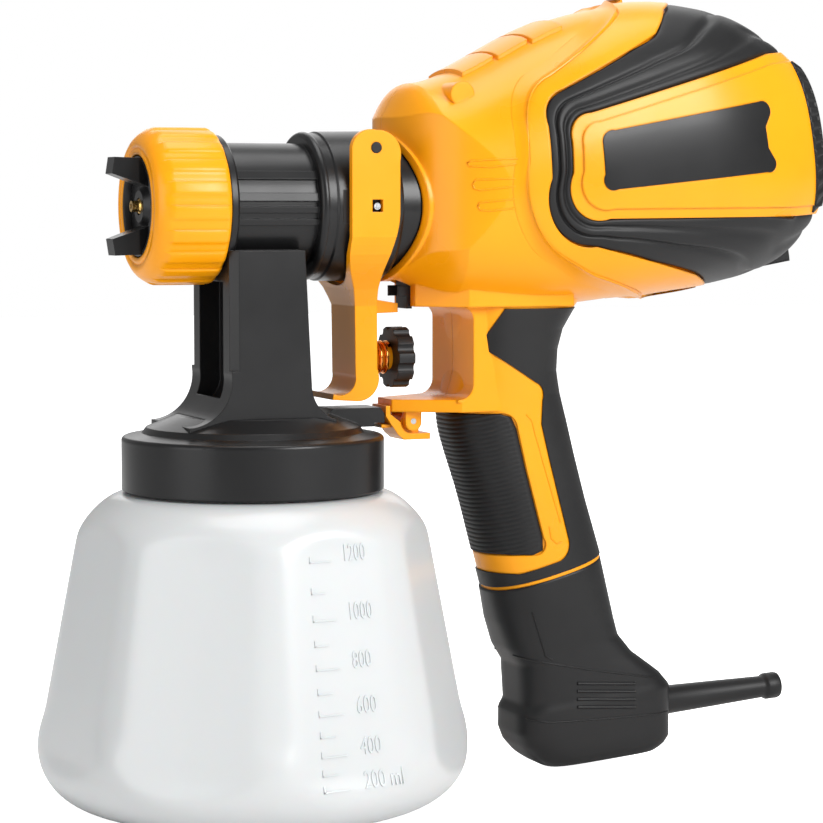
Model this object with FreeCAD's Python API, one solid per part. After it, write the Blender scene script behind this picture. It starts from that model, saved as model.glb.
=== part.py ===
import FreeCAD, Part
import math
import os

# Electric paint spray gun with a screw-on paint container.
# Millimetres. The origin is the centre of the container's flat base, +Z is up,
# the nozzle points along -X and the motor and handle lie towards +X.
# -Y is the gun's left side.

V = FreeCAD.Vector

# Container
base_radius = 55.3
belly_radius = 75.3
belly_height = 20.0
slope_start = (72.6, 32.5)
shoulder = (60.9, 94.5)
neck_radius = 41.3
neck_foot = 108.0
neck_top = 121.8
container_wall = 1.6
panel_count = 8
panel_turn = 31.0
panel_share = 0.952

# Spray head
axis_height = 206.5
lid_radius = 45.5
lid_thread_radius = 42.1
lid_bottom = 108.6
lid_top = 127.6
dome_top = 134.4
barrel_radius = 21.7
barrel_front = -15.0
barrel_rear = 16.5
thread_front = -31.0
thread_radius = 20.4
flange_radius = 24.4
collar_radius = 26.2
collar_rear = 46.4
collar_flat = 25.3
spigot_radius = 23.4
spigot_rear = 62.0
fluid_bore = 7.0
stem_half_width = 22.0
stem_front = -15.0
tube_radius = 4.8
tube_bore = 3.2

# Nozzle end
nut_front = -41.5
nut_rear = -15.4
nut_radius = 26.8
nut_opening = 17.3
nut_rib_count = 20
cap_radius = 17.0
horn_tip = -51.0
tip_front = -43.3
needle_radius = 1.3

# Trigger
pivot_x = 35.0
pivot_z = 226.4
pivot_radius = 1.85
arm_inner = 25.5
arm_outer = 28.1
blade_half_width = 11.5
pin_x = 35.5
pin_radius = 1.2
running_gap = 0.05
knob_z = 153.4
knob_radius = 10.8
knob_front = 50.6
knob_rear = 56.6
stud_radius = 4.4
tab_rear = 53.6
tab_half_width = 1.6

# Housing
housing_pitch = 9.0
housing_origin = (50.0, 206.5)
mouth_radius = 24.0
throat_radius = 21.0
hollow_front = 72.0
shell = 2.4
rear_end = 158.5
neck_front = 56.9
neck_bottom = 171.4
guard_rear = 75.4
shelf_top = 138.8
shelf_bottom = 134.4
band_depth = 1.3
band_proud = 0.9
field_proud = 1.3
tongue_proud = 2.1
badge_proud = 2.4
saddle_radius = 42.8
saddle_centre = 90.7
lip_radius = 26.4
lip_proud = 1.3
boss_place = (67.5, 245.0)
boss_radius = 4.4
boss_reach = 26.8
grip_depth = 0.9
grip_proud = 0.5
handle_rings = 10

# Foot and cord inlet
foot_top_start = (85.5, 67.9)
foot_top_rise = 0.265
ring_line = 1.4
foot_slope = 4.5
foot_half_width = 16.5
pad_depth = 1.6
inlet_radius = 3.6
inlet_start = (150.0, 22.5)
inlet_slope = 3.0
clamp_height = 21.7

# Latch below the shelf
latch_x = 57.0
latch_z = 131.0

# Motor, by distance along its raised axis
motor_front = 82.0
motor_rear = 132.0
motor_radius = 27.0
mount_radius = 33.0
front_mount = (84.0, 90.0)
rear_mount = (122.0, 128.0)
shaft_radius = 3.0

# Switch inside the neck: x, y and z from and to, its rod, and the slot in front of it
switch_space = (72.7, 92.8, -6.0, 6.0, 174.6, 185.4)
switch_rod_z = 179.4
switch_rod_radius = 1.5
slot_front = 50.0
slot_half_width = 5.2
slot_top = 181.2


def save(name, shape):
    solids = [s for s in shape.Solids if s.Volume > 0.5]
    if not solids:
        raise ValueError(name + " has no solid")
    whole = solids[0] if len(solids) == 1 else Part.makeCompound(solids)
    whole.exportStep("parts/" + name + ".step")
    size = whole.BoundBox
    print("%-22s solids %2d  valid %s  volume %9.1f  x %.1f..%.1f  z %.1f..%.1f" % (
        name, len(solids), whole.isValid(), whole.Volume, size.XMin, size.XMax, size.ZMin, size.ZMax))


def rod(start, end, radius):
    axis = V(*end) - V(*start)
    return Part.makeCylinder(radius, axis.Length, V(*start), axis)


def block(x0, x1, y0, y1, z0, z1):
    return Part.makeBox(x1 - x0, y1 - y0, z1 - z0, V(x0, y0, z0))


def outline(start, *steps):
    """A closed wire of lines (2 numbers) and arcs through a middle point (4 numbers)."""
    edges = []
    here = V(start[0], 0, start[1])
    for step in steps + (start,):
        end = V(step[-2], 0, step[-1])
        if here.distanceToPoint(end) < 1e-6:
            continue
        if len(step) == 4:
            edges.append(Part.Arc(here, V(step[0], 0, step[1]), end).toShape())
        else:
            edges.append(Part.LineSegment(here, end).toShape())
        here = end
    return Part.Wire(edges)


def plate(y0, y1, start, *steps):
    """A side outline in X and Z, thick from y0 to y1."""
    face = Part.Face(outline(start, *steps))
    solid = face.extrude(V(0, y1 - y0, 0))
    solid.translate(V(0, y0, 0))
    return solid


def plan(z0, z1, points):
    """An outline in X and Y, from z0 to z1."""
    corners = [V(x, y, z0) for x, y in points]
    return Part.Face(Part.makePolygon(corners + corners[:1])).extrude(V(0, 0, z1 - z0))


def mirrored(points):
    return list(points) + [(x, -y) for x, y in reversed(points)]


def turned_on_z(start, *steps):
    """An outline of radius and height, turned about the container's axis."""
    face = Part.Face(outline(start, *steps))
    return face.revolve(V(0, 0, 0), V(0, 0, 1), 360)


def turned_on_barrel(start, *steps):
    """An outline of X and radius, turned about the barrel's axis."""
    face = Part.Face(outline(start, *steps))
    solid = face.revolve(V(0, 0, 0), V(1, 0, 0), 360)
    solid.translate(V(0, 0, axis_height))
    return solid


def joined(first, *others):
    return first.multiFuse(list(others)).removeSplitter()


def rounded_loop(half_y, top, bottom, power, place, count=20):
    """A smooth closed curve between a circle and a rounded box, as four edges."""
    points = []
    for i in range(count):
        angle = 2 * math.pi * i / count
        c, s = math.cos(angle), math.sin(angle)
        y = half_y * math.copysign(abs(c) ** (2 / power), c)
        height = top if s >= 0 else bottom
        t = height * math.copysign(abs(s) ** (2 / power), s)
        points.append(place(y, t))
    curve = Part.BSplineCurve()
    curve.interpolate(Points=points, PeriodicFlag=True)
    stops = [curve.FirstParameter]
    stops += [curve.parameter(points[count * quarter // 4]) for quarter in (1, 2, 3)]
    stops.append(curve.LastParameter)
    edges = []
    for start, end in zip(stops, stops[1:]):
        piece = curve.copy()
        piece.segment(start, end)
        edges.append(piece.toShape())
    return Part.Wire(edges)


def coil(axis_start, direction_x, radius, wire, turns, pitch):
    """An unbroken wire of quarter turns, each made of two tangent arcs."""
    x0, y0, z0 = axis_start

    def spot(turn):
        angle = 2 * math.pi * turn
        return V(x0 + direction_x * pitch * turn, y0 + radius * math.cos(angle),
                 z0 + radius * math.sin(angle))

    def heading(turn):
        angle = 2 * math.pi * turn
        d = V(direction_x * pitch / (2 * math.pi), -radius * math.sin(angle), radius * math.cos(angle))
        return d.normalize()

    edges = []
    steps = int(turns * 4)
    for i in range(steps):
        a, b = spot(i / 4), spot((i + 1) / 4)
        ta, tb = heading(i / 4), heading((i + 1) / 4)
        edges += biarc(a, ta, b, tb)
    path = Part.Wire(edges)
    ring = Part.Wire(Part.Circle(spot(0), heading(0), wire).toShape())
    tube = Part.BRepOffsetAPI.MakePipeShell(path)
    tube.add(ring)
    tube.build()
    tube.makeSolid()
    least = least_coil_gap(spot, turns, wire)
    print("coil least gap to itself %.2f mm" % least)
    return Part.Solid(tube.shape())


def biarc(a, ta, b, tb):
    """Two arcs from a to b that leave along ta and arrive along tb."""
    v = b - a
    t = ta + tb
    k = 2 * (1 - ta.dot(tb))
    d = (-v.dot(t) + math.sqrt(v.dot(t) ** 2 + k * v.dot(v))) / k
    middle = (a + ta * d + b - tb * d) * 0.5
    return [tangent_arc(a, ta, middle), tangent_arc(b, tb * -1, middle)]


def tangent_arc(start, heading, end):
    chord = end - start
    normal = chord - heading * chord.dot(heading)
    side = V(normal).normalize()
    radius = chord.dot(chord) / (2 * chord.dot(side))
    centre = start + side * radius
    half = (start - centre + end - centre).normalize() * radius
    return Part.Arc(start, centre + half, end).toShape()


def least_coil_gap(spot, turns, wire):
    samples = 24
    least = 1e9
    for i in range(int(turns * samples)):
        for j in range(i + samples // 2, int(turns * samples)):
            least = min(least, (spot(i / samples) - spot(j / samples)).Length)
    return least - 2 * wire


def container_profile(inset):
    r, z = slope_start
    sr, sz = shoulder
    floor = inset
    corner = belly_radius - base_radius
    slant = math.sin(math.radians(45))
    low = belly_height - corner * slant
    return (
        (0, floor),
        (base_radius, floor),
        (base_radius + (corner - inset) * slant, low + inset * slant, belly_radius - inset, belly_height),
        (belly_radius - inset - 0.45, belly_height + 6.6, r - inset, z),
        (sr - inset, sz),
        (59.0 - inset, 102.2, 53.4 - inset, neck_foot - inset * 0.9),
        (neck_radius - inset, neck_foot - inset * 0.9),
        (neck_radius - inset, neck_top),
        (0, neck_top),
    )


def container_panels(inset):
    """A tapered eight-sided form that flattens the sides between soft upright creases."""
    rings = []
    for z, radius in ((-1.0, 82.0), (belly_height, belly_radius), (shoulder[1], shoulder[0]), (140.0, 57.0)):
        reach = (radius * panel_share - inset) / math.cos(math.pi / panel_count)
        if z < 0 or z > 130:
            reach *= 1.06
        corners = []
        for i in range(panel_count):
            angle = math.radians(panel_turn + 360 / panel_count * i)
            corners.append(V(reach * math.cos(angle), reach * math.sin(angle), z))
        rings.append(Part.makePolygon(corners + corners[:1]))
    return Part.makeLoft(rings, True, True)


def paint_container():
    outer = turned_on_z(*container_profile(0)).common(container_panels(0))
    inner = turned_on_z(*container_profile(container_wall)).common(container_panels(container_wall))
    mouth = rod((0, 0, neck_top - 4), (0, 0, neck_top + 2), neck_radius - container_wall)
    return outer.cut([inner, mouth])


def lid_crown():
    """The solid form of the lid, before its hollow is cut."""
    return turned_on_z((0, 110), (lid_radius - 0.6, lid_bottom), (lid_radius, lid_bottom + 0.6),
                       (lid_radius, lid_top - 1.6),
                       (lid_radius - 0.5, lid_top - 0.4, lid_radius - 1.7, lid_top), (38.5, lid_top + 1.0),
                       (37.0, 130.6), (27.0, dome_top), (0, dome_top))


def latch_tongue():
    """The black tongue at the back of the lid, which the latch closes against."""
    return plate(-7, 7, (18, 129.5), (42.5, 129.5), (42.5, 130.8), (46.4, 130.8), (46.4, 134.0),
                 (44.8, 136.2), (27, 136.2), (24.6, 133.8))


def container_lid():
    solid = joined(lid_crown(), latch_tongue())
    return solid.cut([lid_hollow(), rod((0, 0, 124), (0, 0, 131), tube_radius),
                      rod((0, 0, 130), (0, 0, dome_top + 3), tube_bore)])


def stem():
    """Two upright slabs with a recess between them, under the barrel."""
    side = plate(-stem_half_width, stem_half_width, (stem_front, 191.6), (11.4, 191.6), (13.7, 146),
                 (16.2, 138.2, 22.6, 133.6), (24, 128.6), (-30, 128.6), (-30, 132.2),
                 (-18.4, 138.0, stem_front, 150))
    bevel = 2.7
    for s in (-1, 1):
        wedge = plan(126, 192, [(-40, s * 23), (-40, s * (stem_half_width - bevel)),
                                (stem_front, s * (stem_half_width - bevel)),
                                (stem_front + bevel, s * stem_half_width), (stem_front + bevel, s * 23)])
        side = side.cut(wedge.common(block(-17, 0, -24, 24, 151, 192)))
    recess = plate(-13, 13, (stem_front - 1, 181), (-7.5, 181), (-7.5, 148), (-9.5, 141.5, -16, 138.4),
                   (-17, 150))
    return side.cut(recess)


def barrel_ribs():
    """Flat raised ribs along both sides of the barrel, each at an angle above the middle."""
    ribs = []
    for s in (-1, 1):
        for angle, half in ((28, 1.6), (8, 1.4), (-3, 1.1), (-14, 1.1)):
            a = math.radians(angle)
            rib = block(barrel_front + 2.6, barrel_rear, 0, 1.4, -half, half)
            rib.rotate(V(0, 0, 0), V(1, 0, 0), angle if s > 0 else 180 - angle)
            rib.translate(V(0, s * (barrel_radius - 0.6) * math.cos(a),
                            axis_height + (barrel_radius - 0.6) * math.sin(a)))
            ribs.append(rib)
    return ribs


def spray_head_body():
    barrel = turned_on_barrel(
        (thread_front, 0), (thread_front, thread_radius), (barrel_front - 0.2, thread_radius),
        (barrel_front - 0.2, flange_radius), (-13.2, flange_radius), (-12.4, flange_radius - 0.8),
        (-12.4, barrel_radius), (barrel_rear, barrel_radius), (barrel_rear, 24.0),
        (17.0, 25.2, 19.2, 25.5), (22.0, 25.3), (22.6, 25.9), (45.0, collar_radius), (collar_rear, 25.2),
        (collar_rear, spigot_radius), (spigot_rear, spigot_radius), (spigot_rear, 0))
    bosses = []
    for s in (-1, 1):
        bosses.append(rod((pivot_x, s * 14, pivot_z), (pivot_x, s * collar_flat, pivot_z), 4.4))
    foot = stem().cut([lid_crown(), latch_tongue()])
    body = joined(barrel, foot, *(bosses + barrel_ribs()))
    for s in (-1, 1):
        flat = block(24.0, collar_rear + 1, 0, 4, axis_height - 12, axis_height + 12)
        flat.translate(V(0, collar_flat if s > 0 else -collar_flat - 4, 0))
        body = body.cut(flat)
        body = body.cut(rod((pivot_x, s * 15, pivot_z), (pivot_x, s * 30, pivot_z), pivot_radius))
    tools = [rod((thread_front - 1, 0, axis_height), (48, 0, axis_height), fluid_bore)]
    tools.append(turned_on_barrel((thread_front - 1, 0), (thread_front - 1, 17.4), (-18.0, 17.4),
                                  (-15.5, fluid_bore), (-15.5, 0)))
    tools.append(rod((47, 0, axis_height), (spigot_rear + 1, 0, axis_height), 19.6))
    tools.append(rod((0, 0, 130), (0, 0, axis_height - 2), tube_bore))
    tools.append(plate(-30, 30, (34.1, 205.0), (41.7, 205.0), (41.7, 208.0), (34.1, 208.0)))
    air_way = rod((-17, 0, axis_height + 12.4), (48, 0, axis_height + 12.4), 3.0)
    tools.append(air_way)
    groove = turned_on_barrel((53.6, spigot_radius + 1), (53.6, spigot_radius - 1.5),
                              (56.0, spigot_radius - 1.5), (56.0, spigot_radius + 1))
    tools.append(groove)
    return body.cut(tools)


def lid_hollow():
    return turned_on_z((0, lid_bottom - 1), (lid_thread_radius, lid_bottom - 1), (lid_thread_radius, 124.6),
                       (0, 124.6))


def lid_gasket():
    return turned_on_z((35.5, 122.3), (lid_thread_radius - 0.1, 122.3), (lid_thread_radius - 0.1, 124.6),
                       (35.5, 124.6))


def suction_tube():
    tube = rod((0, 0, 14), (0, 0, 131), tube_radius)
    return tube.cut(rod((0, 0, 13), (0, 0, 132), tube_bore))


def suction_strainer():
    """A ribbed cap on the foot of the suction tube, with four windows."""
    cap = turned_on_z((0, 4.4), (7.6, 4.4), (8.2, 5.0), (8.2, 17.0), (tube_radius, 20.0), (tube_radius, 14),
                      (5.9, 14), (5.9, 6.2), (0, 6.2))
    for i in range(4):
        window = block(0, 12, -2.4, 2.4, 7.2, 12.6)
        window.rotate(V(0, 0, 0), V(0, 0, 1), 45 + 90 * i)
        cap = cap.cut(window)
    return cap


def head_o_ring():
    ring = Part.makeTorus(spigot_radius - 0.55, 0.95, V(54.8, 0, axis_height), V(1, 0, 0))
    return ring


def fluid_tube():
    tube = turned_on_barrel((-29.0, 2.6), (-29.0, 5.6), (-15.5, 5.6), (-15.5, fluid_bore), (26.0, fluid_bore),
                            (26.0, 2.6))
    return tube.cut(rod((0, 0, axis_height - 8), (0, 0, axis_height), 2.4))


def needle_packing():
    return turned_on_barrel((26.0, needle_radius + running_gap), (26.0, fluid_bore), (31.2, fluid_bore),
                            (31.2, needle_radius + running_gap))


def fluid_nozzle():
    """The brass tip with its cone and hexagon."""
    tip = turned_on_barrel((tip_front, 0), (tip_front, 1.9), (-41.0, 2.0), (-37.4, 5.0), (-36.0, 5.0),
                           (-36.0, 5.6), (-33.0, 5.6), (-33.0, 5.0), (-29.0, 5.0), (-29.0, 0))
    angles = [math.radians(60 * i) for i in range(7)]
    hexagon = [V(-36, 6.4 * math.cos(a), axis_height + 6.4 * math.sin(a)) for a in angles]
    flats = Part.Face(Part.makePolygon(hexagon)).extrude(V(3, 0, 0))
    hexed = tip.fuse(flats.cut(rod((-40, 0, axis_height), (-20, 0, axis_height), 4.0))).removeSplitter()
    bore = needle_radius + running_gap
    return hexed.cut(turned_on_barrel((tip_front - 1, 0), (tip_front - 1, 0.9), (-41.4, 0.9), (-39.9, bore),
                                      (-28, bore), (-28, 0)))


def nozzle_disc():
    """The air distribution disc: a rim, a hub and six windows."""
    disc = turned_on_barrel((-32.9, 5.0), (-32.9, 19.4), (thread_front, 19.4), (thread_front, 5.0))
    for i in range(6):
        window = block(-34, -30, 9.4, 16.0, -2.9, 2.9)
        window.rotate(V(0, 0, 0), V(1, 0, 0), 60 * i)
        window.translate(V(0, 0, axis_height))
        disc = disc.cut(window)
    return disc


def nozzle_gasket():
    return turned_on_barrel((-34.1, 17.6), (-34.1, 19.4), (-32.9, 19.4), (-32.9, 17.6))


def nozzle_nut():
    shape = turned_on_barrel((nut_front, nut_opening), (nut_front, 22.2), (-37.0, nut_radius - 0.9),
                             (-36.2, nut_radius), (-17.4, nut_radius), (nut_rear, nut_radius - 1.9),
                             (nut_rear, thread_radius + 0.25), (-33.8, thread_radius + 0.25), (-38.4, 20.6),
                             (-38.4, nut_opening))
    corners = []
    for i in range(nut_rib_count):
        start = 2 * math.pi * i / nut_rib_count
        step = 2 * math.pi / nut_rib_count
        for share, radius in ((0.0, 26.05), (0.18, nut_radius + 0.2), (0.62, nut_radius + 0.1), (0.8, 26.1)):
            angle = start + step * share
            corners.append(V(nut_front - 1, radius * math.cos(angle), axis_height + radius * math.sin(angle)))
    ribs = Part.Face(Part.makePolygon(corners + corners[:1])).extrude(V(40, 0, 0))
    shape = shape.common(ribs)
    groove = turned_on_barrel((nut_front - 1, 19.4), (nut_front - 1, 20.2), (nut_front + 0.4, 20.2),
                              (nut_front + 0.4, 19.4))
    return shape.cut(groove)


def air_cap():
    plate_ring = turned_on_barrel((-40.6, 3.0), (-40.6, 5.4), (-38.6, 7.6), (-38.6, cap_radius),
                                  (-38.2, cap_radius), (-38.2, 20.0), (-34.4, 20.0), (-34.4, 7.4),
                                  (-36.6, 7.4), (-40.0, 3.0))
    horns = []
    for s in (-1, 1):
        side = outline((-37.9, 6.4), (-38.2, 16.2), (horn_tip + 0.9, 16.6), (horn_tip, 11.0))
        horn = Part.Face(side).extrude(V(0, 11.0, 0))
        horn.translate(V(0, -5.5, 0))
        if s < 0:
            horn.rotate(V(0, 0, 0), V(1, 0, 0), 180)
        horn.translate(V(0, 0, axis_height))
        horns.append(horn)
    waist = plan(axis_height - 30, axis_height + 30, mirrored([(-36, 5.5), (-42, 5.5), (-52, 3.9)]))
    horns = [horn.common(waist) for horn in horns]
    cap = joined(plate_ring, *horns)
    for s in (-1, 1):
        cap = cap.cut(rod((-50.0, 0, axis_height + s * 13.2), (-42.5, 0, axis_height + s * 8.6), 0.8))
    return cap


def sheet_ring(x0, x1, y0, y1, z):
    """A level rectangle, as one ring of a loft."""
    corners = [V(x0, y0, z), V(x1, y0, z), V(x1, y1, z), V(x0, y1, z)]
    return Part.makePolygon(corners + corners[:1])


# The trigger's widening part: height, front, rear, outer half width, wall, depth of the front web
trigger_steps = ((172.0, 33.5, 41.8, 11.5, 3.0, 3.4), (178.0, 31.7, 40.8, 15.2, 3.0, 3.2),
                 (184.0, 28.5, 40.6, 20.4, 2.9, 3.0), (190.0, 26.4, 41.4, 25.2, 2.8, 2.8),
                 (196.0, 26.2, 42.4, 28.1, 2.6, 2.6))
fork_rings = 8


def trigger_fork():
    """The front web and the two cheeks that widen from the blade up to the arms."""
    steps = [between(trigger_steps, i / fork_rings) for i in range(fork_rings + 1)]
    web = [sheet_ring(front, front + depth, -half, half, z) for z, front, rear, half, wall, depth in steps]
    clear = rod((20, 0, axis_height), (50, 0, axis_height), collar_radius + 1.3)
    parts = [Part.makeLoft(web, True, True).cut(clear)]
    for s in (-1, 1):
        rings = []
        for z, front, rear, half, wall, depth in steps:
            y0, y1 = sorted((s * (half - wall), s * half))
            rings.append(sheet_ring(front, rear, y0, y1, z))
        parts.append(Part.makeLoft(rings, True, True))
    return parts


def trigger():
    """Two arms beside the collar that close in to one curved blade, with a rear tab."""
    arms = []
    for s in (-1, 1):
        y0, y1 = (arm_inner, arm_outer) if s > 0 else (-arm_outer, -arm_inner)
        arm = plate(y0, y1, (26.2, 196), (26.2, 225), (28.2, 230.6, 35.0, 232.4), (41.8, 229.8, 43.8, 222.0),
                    (43.8, 206), (43.5, 200.8, 42.4, 196))
        arms.append(arm)
    blade = plate(-blade_half_width, blade_half_width, (33.5, 172.0), (33.6, 165), (33.8, 148),
                  (32.0, 142.6, 25.6, 141.6), (25.2, 139.6), (34.0, 138.9), (40.8, 141.8, 41.9, 150),
                  (41.8, 172.0))
    tab = plate(-tab_half_width, tab_half_width, (40, 168.8), (tab_rear, 169.2), (tab_rear, 172.4),
                (44, 174.0), (40, 174.0))
    stud = rod((41.0, 0, knob_z), (knob_rear - 2.6, 0, knob_z), stud_radius)
    body = joined(blade, tab, stud, *(arms + trigger_fork()))
    tools = []
    for s in (-1, 1):
        tools.append(rod((pivot_x, s * 20, pivot_z), (pivot_x, s * 30, pivot_z), pivot_radius + running_gap))
        y0, y1 = sorted((s * 20, s * 30))
        tools.append(block(pin_x - 1.95, pin_x + 1.95, y0, y1, 204.6, 208.8))
    ear_clear = turned_on_barrel((20, 0), (20, arm_inner - 0.02), (50, arm_inner - 0.02), (50, 0))
    tools.append(ear_clear.common(block(20, 50, -30, 30, 190, 240)))
    return body.cut(tools)


def adjuster_spring():
    return coil((42.55, 0, knob_z), 1, stud_radius + 0.8, 0.5, 3.25, 2.3)


def flow_knob():
    """A scalloped knob with ten notches, on the trigger's stud."""
    knob = rod((knob_front, 0, knob_z), (knob_rear, 0, knob_z), knob_radius)
    count = 10
    for i in range(count):
        a = 2 * math.pi * (i + 0.5) / count
        y = (knob_radius + 0.7) * math.cos(a)
        z = knob_z + (knob_radius + 0.7) * math.sin(a)
        knob = knob.cut(rod((knob_front - 1, y, z), (knob_rear + 1, y, z), 1.9))
    bore = rod((knob_front - 1, 0, knob_z), (knob_rear - 2.4, 0, knob_z), stud_radius + running_gap)
    hollow = rod((knob_rear - 1.2, 0, knob_z), (knob_rear + 1, 0, knob_z), 6.2)
    return knob.cut([bore, hollow])


def trigger_pivot_pins():
    pins = []
    for s in (-1, 1):
        pins.append(rod((pivot_x, s * 15, pivot_z), (pivot_x, s * (arm_outer + 0.3), pivot_z), pivot_radius))
    return Part.makeCompound(pins)


def needle():
    body = turned_on_barrel((-43.0, 0), (-43.0, 0.35), (-40.0, needle_radius - 0.1), (-37.0, needle_radius),
                            (31.6, needle_radius), (31.6, 5.6), (41.6, 5.6), (42.6, 4.6), (42.6, 2.6),
                            (45.6, 2.6), (45.6, 0))
    return body.cut(rod((pin_x, -8, axis_height), (pin_x, 8, axis_height), pin_radius))


def needle_cross_pin():
    return rod((pin_x, -arm_outer + 0.4, axis_height), (pin_x, arm_outer - 0.4, axis_height), pin_radius)


def needle_spring():
    return coil((43.15, 0, axis_height), 1, 4.0, 0.5, 5.0, 2.98)


def spring_cap():
    """The vented cap that closes the head's rear end behind the needle spring."""
    cap = turned_on_barrel((58.6, 0), (58.6, 19.6), (61.6, 19.6), (61.6, 0))
    for i in range(6):
        a = 2 * math.pi * i / 6
        y = 12.5 * math.cos(a)
        z = axis_height + 12.5 * math.sin(a)
        cap = cap.cut(rod((57, y, z), (63, y, z), 3.6))
    return cap


def tilt(s, y, t):
    """A point s along the motor's raised axis and t above it."""
    a = math.radians(housing_pitch)
    return V(housing_origin[0] + s * math.cos(a) - t * math.sin(a), y,
             housing_origin[1] + s * math.sin(a) + t * math.cos(a))


# Sections of the housing: distance along the axis, half width, top, bottom, squareness
flare_sections = ((-4.0, 25.6, 26.4, 25.6, 2.0), (3.0, 30.0, 31.2, 29.6, 2.0), (8.5, 35.0, 37.9, 33.6, 2.1),
                  (14.0, 38.6, 41.4, 36.6, 2.2))
body_sections = ((14.0, 38.6, 41.4, 36.6, 2.2), (32.0, 41.6, 43.6, 40.6, 2.3),
                 (58.0, 45.0, 52.2, 44.8, 2.4), (92.0, 46.0, 57.4, 46.0, 2.4),
                 (120.0, 44.4, 54.2, 46.6, 2.4), (142.0, 39.0, 44.6, 43.6, 2.4),
                 (158.5, 31.5, 30.0, 32.6, 2.5))


def loop_at(section, offset):
    s, half, top, bottom, power = section
    return rounded_loop(half + offset, top + offset, bottom + offset, power, lambda y, t: tilt(s, y, t))


def housing_skin(offset):
    """The body's outer form, grown or shrunk by an offset."""
    flare = Part.makeLoft([loop_at(section, offset) for section in flare_sections], True, False)
    body = Part.makeLoft([loop_at(section, offset) for section in body_sections], True, False)
    return flare.fuse(body)


def housing_core():
    loops = [loop_at(section, -shell) for section in body_sections]
    core = Part.makeLoft(loops, True, False)
    front = block(0, hollow_front, -60, 60, 140, 300)
    a = math.radians(housing_pitch)
    rear = Part.makeBox(40, 140, 200, V(0, -70, -100))
    rear.rotate(V(0, 0, 0), V(0, 1, 0), -housing_pitch)
    rear.translate(tilt(rear_end - 3.0, 0, 0))
    cradles = [on_motor_axis((s0, mount_radius), (s0, 70), (s1, 70), (s1, mount_radius))
               for s0, s1 in (front_mount, rear_mount)]
    return core.cut([front, rear, switch_cradle()] + cradles)


def switch_cradle():
    """The solid round the switch, which is kept when the casing is hollowed."""
    x0, x1, y0, y1, z0, z1 = switch_space
    wall = 2.2
    return block(x0 - wall, x1 + wall, y0 - wall, y1 + wall, z0 - 10, z1 - 4)


# Sections of the handle: height, centre, half depth, half width, squareness
handle_sections = ((176.0, 98.6, 24.0, 23.0, 3.0), (163.0, 94.4, 19.2, 21.4, 3.0),
                   (148.0, 93.6, 18.2, 20.0, 2.8), (130.0, 94.4, 22.6, 18.8, 2.5),
                   (101.0, 102.6, 22.4, 18.3, 2.4), (64.0, 113.4, 23.4, 17.8, 2.4))


def between(sections, share):
    """A section part of the way along the list, on a smooth curve through all of them."""
    place = share * (len(sections) - 1)
    i = min(int(place), len(sections) - 2)
    t = place - i
    p0, p1 = sections[max(i - 1, 0)], sections[i]
    p2, p3 = sections[i + 1], sections[min(i + 2, len(sections) - 1)]
    section = []
    for a, b, c, d in zip(p0, p1, p2, p3):
        square = (2 * a - 5 * b + 4 * c - d) * t ** 2
        cube = (3 * b - a - 3 * c + d) * t ** 3
        section.append(0.5 * (2 * b + (c - a) * t + square + cube))
    return section


def handle_skin(offset):
    """The handle's outer form, grown or shrunk by an offset."""
    loops = []
    for i in range(handle_rings + 1):
        z, centre, depth, width, power = between(handle_sections, i / handle_rings)
        loops.append(rounded_loop(width + offset, depth + offset, depth + offset, power,
                                  lambda y, t, z=z, centre=centre: V(centre + t, y, z), 16))
    return Part.makeLoft(loops, True, True)


def neck():
    """The yellow neck in front of the guard, the shelf below it and the fillets between."""
    top = plan(neck_bottom, 190, mirrored([(neck_front, 9.5), (72.0, 22.5), (112.0, 23.5)]))
    shelf = plan(shelf_bottom, shelf_top, mirrored([(49.2, 6.5), (56.0, 10.5), (71.0, 18.6), (96.0, 18.6)]))
    rear = block(guard_rear, 98, -18.6, 18.6, shelf_bottom, 176)
    corner_top = plate(-18.6, 18.6, (guard_rear + 1, neck_bottom + 1), (guard_rear - 5, neck_bottom + 1),
                       (guard_rear - 5, neck_bottom),
                       (guard_rear - 1.4, neck_bottom - 1.4, guard_rear, neck_bottom - 5),
                       (guard_rear + 1, neck_bottom - 5))
    corner_low = plate(-18.6, 18.6, (guard_rear + 1, shelf_top - 1), (guard_rear - 6, shelf_top - 1),
                       (guard_rear - 6, shelf_top),
                       (guard_rear - 1.6, shelf_top + 1.6, guard_rear, shelf_top + 6),
                       (guard_rear + 1, shelf_top + 6))
    return [top, shelf, rear, corner_top, corner_low]


def saddle(radius):
    """An upright column whose front curves back at the sides of the mouth."""
    return rod((saddle_centre, 0, 130), (saddle_centre, 0, 270), radius)


def mouth_cut():
    """Cuts the front into a saddle: forward at the top and bottom, back at the sides."""
    return block(30, 80, -70, 70, 140, 260).cut(saddle(saddle_radius))


def mouth_lip():
    """A raised lip round the mouth, on the same saddle."""
    tube = rod((40, 0, axis_height), (64, 0, axis_height), lip_radius)
    return tube.common(saddle(saddle_radius + lip_proud))


def top_steps(shell_proud):
    """Three raised steps along the top, and a round boss on each side in front of them."""
    steps = []
    for x0, x1, half in ((72.4, 84.2, 15.0), (85.2, 96.4, 17.0), (97.4, 109.0, 19.0)):
        steps.append(shell_proud.common(block(x0, x1, -half, half, 240, 300)))
    x, z = boss_place
    steps.append(rod((x, -boss_reach, z), (x, boss_reach, z), boss_radius))
    return steps


def band_outline(y0, y1):
    """The U-shaped band on one side, open towards the rear."""
    outer = plate(y0, y1, (170, 287), (147.6, 276.4), (138.2, 266.8), (99.7, 246.8),
                  (93.9, 242.4, 92.7, 234.0), (93.3, 216.0), (94.7, 200.4, 111.8, 192.4), (158.2, 182.0),
                  (220, 160), (240, 200), (230, 290))
    return outer.cut(tongue_outline(y0 - 1, y1 + 1))


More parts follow.
